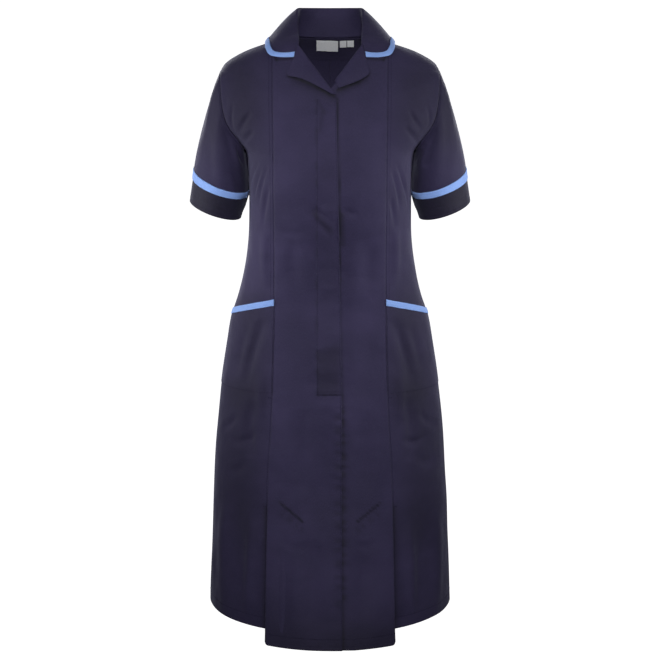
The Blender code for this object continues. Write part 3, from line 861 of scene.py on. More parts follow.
@dataclass(frozen=True)
class ClothFinish:
    """Twill cloth with its wale, its soft small creases, the marks that its seams make and painted shade."""

    name: str
    slot: str
    colour: Colour
    faded: Colour
    deep: Colour
    roughness: float = 0.80
    sheen: float = 0.12
    sheen_roughness: float = 0.45
    sheen_tint: Colour = (0.55, 0.56, 0.80, 1.0)
    gloss: float = 0.28
    wale: float = 0.0016
    wale_slant: float = 1.15
    wale_depth: float = 0.00006
    roll: float = 0.0075
    crumple: float = 0.0020
    pucker: float = 0.0006
    hem_stitch: float = 0.0200
    stitch_width: float = 0.0016
    stitch_depth: float = 0.0002
    stitch_share: float = 0.18
    seam_near: tuple[float, float] = (0.002, 0.016)
    seam_edge: tuple[float, float] = (0.0, 0.0022)
    seam_depth: float = 0.0004
    seam_line: tuple[float, float] = (0.0002, 0.0013)
    mottle_range: tuple[float, float] = (0.30, 0.72)
    cloud_range: tuple[float, float] = (0.42, 0.70)
    cloud_share: float = 0.42
    thread_range: tuple[float, float] = (0.35, 0.80)
    thread_share: float = 0.45
    # painted shade: dark colour that stands in for shadow, blended in along the sewn edges and where the
    # shade attribute asks
    pressed: Colour = (0.0035, 0.0028, 0.0095, 1.0)

    def build(self) -> bpy.types.Material:
        """Material of this finish."""
        shader = Shader(self.name)
        place = shader.add("ShaderNodeTexCoord")[3]
        flat = shader.add("ShaderNodeUVMap", {"uv_map": "cloth"})[0]
        seam, hem, shade = (
            shader.add("ShaderNodeAttribute", {"attribute_name": name})[2]
            for name in ("seam", "hem", "shade")
        )
        u, v, _ = shader.add("ShaderNodeSeparateXYZ", None, {0: flat})
        turn = 2 * math.pi / self.wale
        wale = ((u * turn + v * (turn * self.wale_slant)).sine()) * 0.5 + 0.5
        noises = (
            # coordinates, scale, detail, stretch
            (flat, 900.0, 2.0, (1.0, 0.35, 1.0)),
            (place, 9.0, 4.0, (1.0, 1.0, 1.0)),
            (place, 10.0, 2.0, (1.0, 1.0, 1.35)),
            (place, 13.0, 3.0, (0.8, 1.0, 2.0)),
            (place, 26.0, 3.0, (1.0, 1.0, 0.55)),
            (flat, 160.0, 2.0, (1.0, 1.0, 1.0)),
        )
        thread, mottle, broad, cloud, small, edge = (shader.noise(*row) for row in noises)
        stitched = hem.band(self.hem_stitch, self.stitch_width) * (0.6 + edge * 0.8)
        height = (
            wale * self.wale_depth
            + thread * (self.wale_depth * 0.9)
            + broad * self.roll
            + small * self.crumple
            + (1.0 - seam.step(*self.seam_near)) * (edge * self.pucker)
            - stitched * self.stitch_depth
            - (1.0 - seam.step(*self.seam_edge)) * self.seam_depth
        )
        # mottled tone of the cloth, with painted shade blended in below
        base_colour = shader.blend(mottle.step(*self.mottle_range), self.deep, self.colour)
        for share, colour in (
            (cloud.step(*self.cloud_range) * self.cloud_share, self.deep),
            (thread.step(*self.thread_range) * self.thread_share, self.faded),
            (stitched * self.stitch_share, self.deep),
            # painted shade along the sewn edges, standing in for the shadow in the seam's groove
            ((1.0 - seam.step(*self.seam_line)) * (edge * 0.3 + 0.08), self.pressed),
            # painted shade where the shade attribute asks: shadows and light falling off, painted into the
            # colour
            (shade * (edge * 0.3 + 0.85), self.pressed),
        ):
            base_colour = shader.blend(share, base_colour, colour)
        bump = {"Strength": 1.0, "Distance": 1.0, "Height": height}
        return shader.finished({
            "Base Color": base_colour,
            "Roughness": mottle * 0.10 + (self.roughness - 0.05),
            "Normal": shader.add("ShaderNodeBump", None, bump)[0],
            "Sheen Weight": self.sheen,
            "Sheen Roughness": self.sheen_roughness,
            "Sheen Tint": self.sheen_tint,
            "Specular IOR Level": self.gloss,
        })


@dataclass(frozen=True)
class ThreadFinish:
    """Sewing thread."""

    name: str
    slot: str
    colour: Colour
    light: Colour
    roughness: float = 0.9
    gloss: float = 0.08

    def build(self) -> bpy.types.Material:
        """Material of this finish."""
        shader = Shader(self.name)
        place = shader.add("ShaderNodeTexCoord")[3]
        twist = shader.noise(place, 1400.0, 1.0)
        base_colour = shader.blend(twist, self.colour, self.light)
        return shader.finished(
            {"Base Color": base_colour, "Roughness": self.roughness, "Specular IOR Level": self.gloss}
        )


@dataclass(frozen=True)
class FloorFinish:
    """White floor with an even glow of its own."""

    name: str = "floor_paint"
    colour: Colour = (0.80, 0.80, 0.80, 1.0)
    roughness: float = 0.9
    glow: float = 1.0

    def build(self) -> bpy.types.Material:
        """Material of this finish."""
        return Shader(self.name).finished({
            "Base Color": self.colour,
            "Roughness": self.roughness,
            "Emission Color": WHITE,
            "Emission Strength": self.glow,
        })


@dataclass
class Sewing:
    """Stitches of one thread, kept as lines along the cloth until they are made."""

    pitch: float = 0.0032
    width: float = 0.00034
    length_share: float = 0.76
    bead: Rows = (
        # along, across, out
        (-0.5, 0.0, -0.25),
        (-0.3, 1.0, 0.3),
        (-0.3, 0.0, 0.7),
        (-0.3, -1.0, 0.3),
        (-0.3, 0.0, -0.3),
        (0.3, 1.0, 0.3),
        (0.3, 0.0, 0.7),
        (0.3, -1.0, 0.3),
        (0.3, 0.0, -0.3),
        (0.5, 0.0, -0.25),
    )
    lines: list[Line] = field(default_factory=list)

    def add(self, *lines: Line, side: Side = Side.LEFT) -> None:
        """Keep lines of stitches until they are made.

        Args:
            lines: lines on the wearer's left.
            side: side that they go to.
        """
        self.lines += [
            Line(line.points * side.flip, line.normals * side.flip) for line in lines if len(line.points) > 1
        ]

    def mesh(self, name: str) -> bpy.types.Mesh:
        """Mesh of all the stitches, each a short bead of four sides sunk into the cloth at its ends.

        Args:
            name: mesh's name.

        Returns:
            The mesh.
        """
        shape = np.array(self.bead) * (self.pitch * self.length_share, self.width, self.width)
        faces = []
        for k in range(4):
            n = (k + 1) % 4
            faces += [(0, 1 + n, 1 + k), (1 + k, 1 + n, 5 + n), (1 + k, 5 + n, 5 + k), (5 + k, 5 + n, 9)]
        points, corners = [], []
        for line in self.lines:
            places, along, normals = line.spaced(self.pitch)
            beside = np.cross(normals, along)
            for origin, ahead, over, out in zip(places, along, beside, normals):
                corners.append(np.array(faces) + len(points) * len(shape))
                points.append(origin + shape @ np.array((ahead, over, out)))
        mesh = bpy.data.meshes.new(name)
        mesh.from_pydata(np.concatenate(points).tolist(), [], np.concatenate(corners).tolist())
        mesh.shade_smooth()
        return mesh


@dataclass
class Workroom:
    navy: ClothFinish = ClothFinish(
        "navy_twill", "navy_cloth",
        (0.0250, 0.0194, 0.0575, 1.0), (0.0345, 0.0285, 0.0710, 1.0), (0.0135, 0.0102, 0.0370, 1.0),
    )
    blue: ClothFinish = ClothFinish(
        "blue_binding", "blue_trim",
        (0.215, 0.345, 0.700, 1.0), (0.280, 0.410, 0.760, 1.0), (0.180, 0.300, 0.640, 1.0),
        sheen=0.10, crumple=0.0003, roll=0.0010, pressed=(0.060, 0.105, 0.240, 1.0),
    )
    label: ClothFinish = ClothFinish(
        "label_tape", "label_cloth",
        (0.680, 0.690, 0.720, 1.0), (0.760, 0.770, 0.800, 1.0), (0.600, 0.610, 0.640, 1.0),
        sheen=0.05, crumple=0.0003, roll=0.0010, pressed=(0.300, 0.305, 0.330, 1.0),
    )
    thread: ThreadFinish = ThreadFinish(
        "navy_thread", "navy_cloth", (0.009, 0.007, 0.023, 1.0), (0.015, 0.012, 0.035, 1.0)
    )
    blue_thread: ThreadFinish = ThreadFinish(
        "blue_thread", "blue_trim", (0.230, 0.390, 0.780, 1.0), (0.330, 0.480, 0.850, 1.0)
    )
    sharp_angle: float = 50.0
    materials: dict[str, bpy.types.Material] = field(default_factory=dict)
    shades: tuple[Shade, ...] = field(default_factory=lambda: shades())
    navy_stitches: Sewing = field(default_factory=Sewing)
    blue_stitches: Sewing = field(default_factory=Sewing)

    def dressed(self, name: str, mesh: bpy.types.Mesh, finish: Any, nodes: Iterable[str]) -> bpy.types.Object:
        """Object for a mesh, in its finish, riding on the dress in place of its nodes.

        Args:
            name: piece's name.
            mesh: its mesh.
            finish: what it is made of.
            nodes: nodes that it stands for, none for stitches.

        Returns:
            The object.
        """
        if finish.name not in self.materials:
            self.materials[finish.name] = finish.build()
        mesh.materials.append(self.materials[finish.name])
        piece = bpy.data.objects.new(name, mesh)
        bpy.context.collection.objects.link(piece)
        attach(piece, "root")
        if nodes:
            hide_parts(*nodes)
        LOG.info("%s: %d faces", name, len(mesh.polygons))
        return piece

    def shell(
        self,
        name: str,
        node: str,
        grid: Grid,
        thickness: Array | float,
        finish: ClothFinish,
        rests_on: Sequence[str] = (),
        held: Held = Held.HUNG,
        sewn: Sequence[Edge] = (),
        hemmed: bool = False,
    ) -> None:
        """Thin closed shell of cloth behind a grid.

        Args:
            name: piece's name.
            node: node that it stands for.
            grid: outside of the cloth.
            thickness: of the cloth, for the whole or for each point.
            finish: what it is made of.
            rests_on: what it hangs from or lies on; not used.
            held: how it is held; not used.
            sewn: which of its edges are sewn.
            hemmed: whether its last row is a hem.
        """
        rows, columns = grid.points.shape[:2]
        size = rows * columns
        kept = columns - 1 if grid.closed else columns
        thickness = np.broadcast_to(np.asarray(thickness, float), (rows, columns))
        back = grid.points - grid.normals * thickness[..., None]
        points = np.concatenate((grid.points[:, :kept].reshape(-1, 3), back[:, :kept].reshape(-1, 3)))
        cells = np.arange(size).reshape(rows, columns)
        a, b, c, d = cells[:-1, :-1], cells[1:, :-1], cells[1:, 1:], cells[:-1, 1:]
        outer = np.stack((a, b, c, d), axis=-1).reshape(-1, 4)
        rims = [cells[0], cells[-1, ::-1]]
        if not grid.closed:
            rims += [cells[::-1, 0], cells[:, -1]]
        walls = [np.stack((rim[:-1], rim[1:], rim[1:] + size, rim[:-1] + size), axis=-1) for rim in rims]
        faces = np.concatenate([outer, outer[:, ::-1] + size, *walls])
        middle = (rows - 1) // 2 * (columns - 1) + (columns - 1) // 2
        corners = np.concatenate((grid.points.reshape(-1, 3), back.reshape(-1, 3)))
        first = corners[outer[middle]]
        facing = np.cross(first[2] - first[0], first[3] - first[1])
        if facing @ grid.normals.reshape(-1, 3)[outer[middle][0]] < 0:
            faces = faces[:, ::-1]
        layer, row, column = faces // size, faces // columns % rows, faces % columns
        numbers = layer * rows * kept + row * kept + column % kept
        mesh = bpy.data.meshes.new(name)
        mesh.from_pydata(points.tolist(), [], numbers.tolist())
        across, down = grid.across(), grid.down()
        flat = np.stack((across, down), axis=-1)
        uv_map = mesh.uv_layers.new(name="cloth")
        uv_map.data.foreach_set("uv", flat[row, column].reshape(-1))
        seam = grid.distance(*sewn)[:, :kept].reshape(-1)
        hem = grid.distance(*([Edge.BOTTOM] if hemmed else []))[:, :kept].reshape(-1)
        front = grid.points[:, :kept].reshape(-1, 3)
        # painted shade: shares from the table of shades, kept as the shade attribute for the material
        spots = [spot.at(front) for spot in self.shades if name.startswith(spot.on)]
        shade = np.clip(sum(spots, np.zeros(len(front))), 0.0, DEEPEST_SHADE)
        for key, values in (("seam", seam), ("hem", hem), ("shade", shade)):
            layer_values = mesh.attributes.new(key, "FLOAT", "POINT")
            layer_values.data.foreach_set("value", np.concatenate((values, values)))
        mesh.shade_smooth()
        mesh.set_sharp_from_angle(angle=math.radians(self.sharp_angle))
        piece = self.dressed(name, mesh, finish, [node])
        width, length = float(across[:, -1].max()), float(down[-1].max())
        cut = min(grid.area(), width * length)
        LOG.info("%s cut: %.3f x %.3f m, %.4f m2", name, width, length, cut)

    def stitched(self) -> None:
        """All the stitches that the other pieces left to be made, as one piece for each thread."""
        for name, sewing, finish in (
            ("stitches_navy", self.navy_stitches, self.thread),
            ("stitches_blue", self.blue_stitches, self.blue_thread),
        ):
            self.dressed(name, sewing.mesh(name), finish, [])


@dataclass
class Bodice:
    """Panels of the body from shoulder to hem, with what is sewn flat on them."""

    room: Workroom
    figure: Figure
    drape: Drape
    front_width: float = 0.125
    side_width: float = 0.190
    back_width: float = 0.250
    side_top: float = -0.0082
    shoulder_step: float = 0.0016
    chest_step: float = 0.00336
    neck_foot: float = -0.0230
    fade_samples: int = 40
    fade: tuple[float, float] = (0.001, 0.012)
    underlap: float = -0.0235
    underlap_depth: float = 0.0024
    underlap_start: float = -0.0500
    underlap_ramp: float = 0.0300
    underlap_fade: float = 0.0480
    underlap_level: float = 0.0180
    roll_top: tuple[float, float] = (0.0540, -0.0145)
    roll_foot_right: tuple[float, float] = (0.0095, -0.0960)
    roll_foot_left: tuple[float, float] = (-0.0235, -0.1121)
    roll_setback: float = 0.0036
    neckline: Curve = Curve((
        # z, x
        (-0.0145, 0.0572),
        (-0.0082, 0.0622),
        (-0.0045, 0.0665),
        (NECK_TOP, 0.0710),
    ))
    placket_top: float = -0.0930
    placket_foot: float = -0.6240
    placket: float = 0.0010
    placket_width: float = 0.040
    placket_cloth: float = 0.0008
    placket_drop: float = 0.0005
    placket_sink: float = 0.0006
    placket_stitches: tuple[tuple[Edge, float], ...] = (
        # edge, inset
        (Edge.END, 0.0018),
        (Edge.START, 0.0022),
        (Edge.BOTTOM, 0.0022),
        (Edge.BOTTOM, 0.0068),
    )
    pocket_width: float = 0.110
    pocket_length: float = 0.165
    pocket_top: float = -0.4560
    pocket_foot: float = -0.6240
    pocket_fall: float = 0.0320
    pocket_drop: float = 0.0003
    pocket_band: float = 0.0115
    band_length: float = 0.012
    band_drop: float = 0.0004
    pocket_rise: float = 0.0007
    pocket_cloth: float = 0.0005
    placket_fade: float = 0.0160
    topstitch: tuple[float, float] = (0.0018, 0.0068)
    topstitch_top: float = -0.012
    topstitch_foot: float = -0.6300
    back_stitch_top: float = -0.030
    hem_stitch: float = -1.0200
    tack_lines: int = 5
    tack_pitch: float = 0.0007
    pleat_tack: float = -0.8250
    pleat_stitch_gap: float = 0.0030
    pleat_stitch_places: int = 16
    pleat_stitch_top: tuple[float, float] = (0.0885, -0.8170)
    pleat_stitch_foot: tuple[float, float] = (0.0490, -0.8460)
    front_stitch: float = 0.0022
    front_stitch_gap: float = 0.003
    hem_depth: float = 0.0200
    hem_ridge: float = 0.0010
    hem_layer: float = 0.0007
    edge_column: float = 0.0016
    corner: float = 0.0060
    corner_reach: float = 0.0180

    def shares(self, width: float) -> Array:
        """Shares of a panel's width, with a narrow column beside each edge.

        Args:
            width: about how wide the panel is.

        Returns:
            Shares from 0 to 1.
        """
        inner = spaced(0.0, 1.0, COLUMN_STEP / width)[1:-1]
        narrow = self.edge_column / width
        return np.concatenate(([0.0, narrow], inner, [1.0 - narrow, 1.0]))

    def heights(self, top: float, foot: float) -> Array:
        """Heights of a panel's rows, closer together over the shoulder.

        Args:
            top: height of the first row.
            foot: height of the last row.

        Returns:
            Heights from top to foot.
        """
        return np.concatenate((
            spaced(top, SHOULDER_TIP, self.shoulder_step)[:-1],
            spaced(SHOULDER_TIP, UNDERARM, self.chest_step)[:-1],
            spaced(UNDERARM, foot + self.edge_column, ROW_STEP),
            [foot],
        ))

    def hemmed(self, grid: Grid) -> Array:
        """Thickness of the cloth, more where its hem is turned up."""
        above = smooth(grid.distance(Edge.BOTTOM), self.hem_depth, self.hem_depth + self.hem_ridge)
        return CLOTH + self.hem_layer * (1.0 - above)

    def underlap_at(self, x: Array, z: Array) -> Array:
        """How far the left front lies behind the body's surface, to pass under the right one.

        Args:
            x: how far to the wearer's left.
            z: heights.

        Returns:
            A distance for each place.
        """
        across = smooth(self.underlap_fade - x, 0.0, self.underlap_fade - self.underlap_level)
        down = smooth(self.underlap_start - z, 0.0, self.underlap_ramp)
        return self.underlap_depth * across * down

    def front_edges(self, z: Array, side: Side) -> tuple[Array, Array]:
        """How far out the two edges of a front lie at each height, on its own side.

        Args:
            z: heights.
            side: which front.

        Returns:
            The x of the front edge and of the panel seam.
        """
        right = side is Side.RIGHT
        foot_x, foot_z = self.roll_foot_right if right else self.roll_foot_left
        foot_x = -foot_x if right else foot_x
        edge = -self.figure.front_edge.at(z) if right else np.full(z.shape, self.underlap)
        top_x, top_z = self.roll_top
        share = (top_z - z) / (top_z - foot_z)
        rolled = top_x + (foot_x - top_x) * share + self.roll_setback
        above = np.where(z > top_z, self.neckline.at(z), rolled)
        inner = np.where(z < foot_z, edge, above)
        shoulder = self.figure.point(0.0, z)[..., 0]
        outer = np.minimum(self.figure.panel_seam.at(z), shoulder)
        return inner, outer

    def front_grid(self, side: Side) -> Grid:
        """Centre front from the shoulder to the hem, front edge first, on the wearer's left.

        Args:
            side: side that it is for.

        Returns:
            The cloth.
        """
        z = self.heights(NECK_TOP, CENTRE_HEM)
        inner, outer = self.front_edges(z, side)
        x = inner[:, None] + (outer - inner)[:, None] * self.shares(self.front_width)
        beyond = np.clip(self.corner - (outer[:, None] - x), 0.0, self.corner)
        raised = self.corner - np.sqrt(self.corner**2 - beyond**2)
        near_hem = smooth(CENTRE_HEM + self.corner_reach - z[:, None], 0.0, self.corner_reach)
        return self.front_cloth(x, z[:, None] + raised * near_hem, side)

    def front_cloth(self, x: Array, z: Array, side: Side) -> Grid:
        """Cloth of a centre front at given places, with how far its creases move it.

        Args:
            x: how far to the wearer's left.
            z: heights.
            side: side whose creases it has.

        Returns:
            The cloth, on the wearer's left.
        """
        points, normals = self.figure.front(x, z)
        body = self.figure.point(self.figure.turn_at_x(x, z), z) * side.flip
        if side is Side.LEFT:
            points[..., 1] += self.underlap_at(x, z)
        return Grid(points, normals, relief=self.drape.at(body) * self.armhole_fade(points))

    def side_front_grid(self, side: Side) -> Grid:
        """Side front from the shoulder to the hem, panel seam first, on the wearer's left."""
        z = self.heights(self.side_top, SIDE_HEM)
        return self.side_cloth(z[:, None], self.shares(self.side_width), side)

    def side_cloth(self, z: Array, shares: Array, side: Side) -> Grid:
        """Cloth of a side front, with how far its creases move it.

        Args:
            z: heights.
            shares: 0 at the panel seam and 1 at the armhole and side seam.
            side: side whose creases it has.

        Returns:
            The cloth, on the wearer's left.
        """
        z = np.broadcast_to(z, (z.shape[0], len(shares)))
        start = self.figure.turn_at_x(self.figure.panel_seam.at(z), z)
        end = self.figure.armhole_turn(z, Face.FRONT)
        turn = start + (end - start) * shares
        points = self.figure.point(turn, z)
        moved = self.drape.at(points * side.flip) * self.armhole_fade(points)
        return Grid(points, self.figure.normal(turn, z), relief=moved)

    def armhole_fade(self, points: Array) -> Array:
        """0 on the armhole and 1 away from it, so that body and sleeve meet.

        Args:
            points: places on the body.

        Returns:
            A share for each point.
        """
        z = np.linspace(SHOULDER_TIP, UNDERARM, self.fade_samples)
        nearest = np.full(points.shape[:-1], FAR)
        for face in Face:
            for place in self.figure.point(self.figure.armhole_turn(z, face), z):
                nearest = np.minimum(nearest, np.linalg.norm(points - place, axis=-1))
        return smooth(nearest, *self.fade)

    def back_grid(self, side: Side) -> Grid:
        """Back from the neck to the hem, side seam first, on the wearer's left.

        Args:
            side: side that it is for.

        Returns:
            The cloth.
        """
        z = self.heights(NECK_TOP, SIDE_HEM)[:, None]
        start = self.figure.armhole_turn(z, Face.BACK)
        turn = start + (90.0 - start) * self.shares(self.back_width)
        near_neck = np.clip((z - self.neck_foot) / (NECK_TOP - self.neck_foot), 0.0, 1.0)
        z = z + (self.figure.back_neck(turn) - NECK_TOP) * near_neck
        points = self.figure.point(turn, z)
        moved = self.drape.at(points * side.flip) * self.armhole_fade(points)
        return Grid(points, self.figure.normal(turn, z), relief=moved)

    def pocket_grid(self, side: Side) -> Grid:
        """Patch pocket on the side front, its top falling towards the side seam.

        Args:
            side: side that it is for.

        Returns:
            The cloth, on the wearer's left.
        """
        down = self.shares(self.pocket_length)[:, None]
        across = self.shares(self.pocket_width)
        fall = self.pocket_fall * (1 - down) * across
        z = self.pocket_top + (self.pocket_foot - self.pocket_top) * down - fall
        return self.side_cloth(z, across, side)

    def pocket_band_grid(self, side: Side) -> Grid:
        """Band along the pocket's top.

        Args:
            side: side that it is for.

        Returns:
            The cloth, on the wearer's left.
        """
        down = self.shares(self.band_length)[:, None]
        across = self.shares(self.pocket_width)
        z = self.pocket_top - self.pocket_fall * across - self.pocket_band * down
        return self.side_cloth(z, across, side)

    def placket_grid(self) -> Grid:
        """Band of the concealed placket on the right front, on the wearer's left until it is mirrored."""
        z = spaced(self.placket_top, self.placket_foot, ROW_STEP)
        edge = -self.figure.front_edge.at(z)
        x = edge[:, None] + (-self.underlap - edge)[:, None] * self.shares(self.placket_width)
        grid = self.front_cloth(x, np.broadcast_to(z[:, None], x.shape), Side.RIGHT)
        sunk = 1.0 - smooth(self.placket_top - z, self.placket_fade * 0.5, self.placket_fade)
        grid.relief = grid.relief - (self.placket + self.placket_sink) * sunk[:, None]
        return grid

    def finished(
        self,
        name: str,
        node: str,
        grid: Grid,
        side: Side,
        edges: Sequence[Edge] = (Edge.START, Edge.END),
        drop: float = 0.00025,
        rise: float = 0.0,
        cloth: float = CLOTH,
        finish: ClothFinish | None = None,
        held: Held = Held.HUNG,
        hemmed: bool = False,
        rests_on: Sequence[str] = (),
    ) -> Grid:
        """Shell for one panel or for what is sewn flat on it, mirrored to its side.

        Args:
            name: piece's name.
            node: node that it stands for.
            grid: cloth on the wearer's left.
            side: side that it goes to.
            edges: edges that are sewn and turn in.
            drop: how far they turn in.
            rise: how far the piece lies above the grid.
            cloth: its thickness.
            finish: what it is made of, navy cloth unless it is given.
            held: how it is held.
            hemmed: whether its foot is turned up in a hem.
            rests_on: what it hangs from or lies on.

        Returns:
            The outside of the cloth, still on the wearer's left.
        """
        shaped = grid.moved(grid.turned_in(edges, drop) + rise)
        thickness = self.hemmed(grid) if hemmed else np.full(grid.points.shape[:2], cloth)
        placed, sewn = shaped, edges
        if side is Side.RIGHT:
            placed, thickness, sewn = shaped.mirrored(), thickness[:, ::-1], [edge.mirrored for edge in edges]
        self.room.shell(
            name, node, placed, thickness, finish or self.room.navy,
            sewn=sewn, held=held, hemmed=hemmed, rests_on=rests_on,
        )
        return shaped

    def build(self) -> None:
        """All the panels, pockets and trims of the body."""
        for side in Side:
            self.panels(side)
            self.pocket(side)
        self.placket_band()

    def panels(self, side: Side) -> None:
        """The three panels of one half of the body, with their stitches.

        Args:
            side: side that it is for.
        """
        word = side.word
        front = self.finished(
            f"cloth_front_{word}", f"front_{word}", self.front_grid(side), side,
            hemmed=True, rests_on=[f"back_{word}"],
        )
        side_front = self.finished(
            f"cloth_side_front_{word}", f"side_front_{word}", self.side_front_grid(side), side,
            hemmed=True, rests_on=[f"back_{word}", f"front_{word}"],
        )
        back = self.finished(f"cloth_back_{word}", f"back_{word}", self.back_grid(side), side, hemmed=True)
        sewing = self.room.navy_stitches
        beside_seam = [side_front.line(Edge.START, inset) for inset in self.topstitch]
        for line in beside_seam:
            sewing.add(line.between(self.topstitch_foot, self.topstitch_top), side=side)
        sewing.add(beside_seam[0].between(self.hem_stitch, self.topstitch_foot), side=side)
        for panel in (side_front, back, front):
            sewing.add(panel.line(Edge.BOTTOM, self.hem_depth), side=side)
        back_seam = back.line(Edge.END, self.topstitch[0])
        sewing.add(back_seam.between(self.hem_stitch, self.back_stitch_top), side=side)
        for height in (self.topstitch_foot, self.pleat_tack):
            self.tack(beside_seam, height, side)
        self.pleat_stitches(front, side)
        if side is Side.RIGHT:
            top = self.roll_foot_right[1] - self.front_stitch_gap
            sewing.add(front.line(Edge.START, self.front_stitch).between(self.hem_stitch, top), side=side)

    def tack(self, beside_seam: Sequence[Line], height: float, side: Side) -> None:
        """Bar tack: a short dense bar of stitches across the ends of the topstitching.

        Args:
            beside_seam: the two lines of topstitching, on the wearer's left.
            height: where the bar lies.
            side: side that it goes to.
        """
        rows = [int(np.argmin(np.abs(line.points[:, 2] - height))) for line in beside_seam]
        one, other = (line.points[row] for line, row in zip(beside_seam, rows))
        outward, other_outward = (line.normals[row] for line, row in zip(beside_seam, rows))
        points = np.array([one, (one + other) / 2, other])
        normals = np.array([outward, outward, other_outward])
        for lift in np.arange(self.tack_lines) * self.tack_pitch:
            self.room.navy_stitches.add(Line(points - np.array((0.0, 0.0, lift)), normals), side=side)

    def pleat_stitches(self, front: Grid, side: Side) -> None:
        """Slanted lines of stitches that hold the top of a kick pleat behind the centre panel.

        Args:
            front: centre front on the wearer's left.
            side: side that they go to.
        """
        top, foot = np.array(self.pleat_stitch_top), np.array(self.pleat_stitch_foot)
        share = np.linspace(0.0, 1.0, self.pleat_stitch_places)[:, None]
        for offset in (0.0, self.pleat_stitch_gap):
            flat = top + (foot - top) * share - np.array((0.0, offset))
            places, normals = zip(*(self.nearest(front, x, z) for x, z in flat))
            self.room.navy_stitches.add(Line(np.array(places), np.array(normals)), side=side)

    @staticmethod
    def nearest(grid: Grid, x: float, z: float) -> tuple[Array, Array]:
        """Point of a grid at a place seen from the front, with its outward direction.

        Args:
            grid: cloth.
            x: how far to the wearer's left.
            z: height.

        Returns:
            The point and the direction.
        """
        row = int(np.argmin(np.abs(grid.points[:, grid.points.shape[1] // 2, 2] - z)))
        order = np.argsort(grid.points[row, :, 0])
        across = grid.points[row, order, 0]
        place = np.array([np.interp(x, across, grid.points[row, order, i]) for i in range(3)])
        place[2] = z
        normal = np.array([np.interp(x, across, grid.normals[row, order, i]) for i in range(3)])
        return place, unit(normal)

    def pocket(self, side: Side) -> None:
        """Patch pocket with its band and their stitches.

        Args:
            side: side that it is for.
        """
        word = side.word
        cloth = self.finished(
            f"cloth_pocket_{word}", f"pocket_{word}", self.pocket_grid(side), side, (Edge.START,),
            drop=self.pocket_drop, rise=self.pocket_rise, cloth=self.pocket_cloth, held=Held.LAID,
            rests_on=[f"side_front_{word}"],
        )
        band = self.finished(
            f"trim_pocket_{word}", f"pocket_trim_{word}", self.pocket_band_grid(side), side, tuple(Edge),
            drop=self.band_drop, rise=self.pocket_rise + TRIM + LAYER_GAP, cloth=TRIM, finish=self.room.blue,
            held=Held.LAID, rests_on=[f"pocket_{word}"],
        )
        navy, blue = self.room.navy_stitches, self.room.blue_stitches
        top = self.pocket_top - self.pocket_fall - self.pocket_band
        for edge in (Edge.START, Edge.END):
            navy.add(cloth.line(edge, TRIM_STITCH).between(-FAR, top), side=side)
        navy.add(cloth.line(Edge.BOTTOM, TRIM_STITCH), side=side)
        blue.add(band.line(Edge.TOP, TRIM_STITCH), band.line(Edge.BOTTOM, TRIM_STITCH), side=side)

    def placket_band(self) -> None:
        """Band of the concealed placket on the right front."""
        band = self.finished(
            "cloth_placket", "front_placket", self.placket_grid(), Side.RIGHT,
            (Edge.START, Edge.END, Edge.BOTTOM), drop=self.placket_drop, rise=LAYER_GAP + self.placket,
            cloth=self.placket_cloth, held=Held.LAID, rests_on=["front_right"],
        )
        lines = [band.line(edge, inset) for edge, inset in self.placket_stitches]
        self.room.navy_stitches.add(*lines, side=Side.RIGHT)


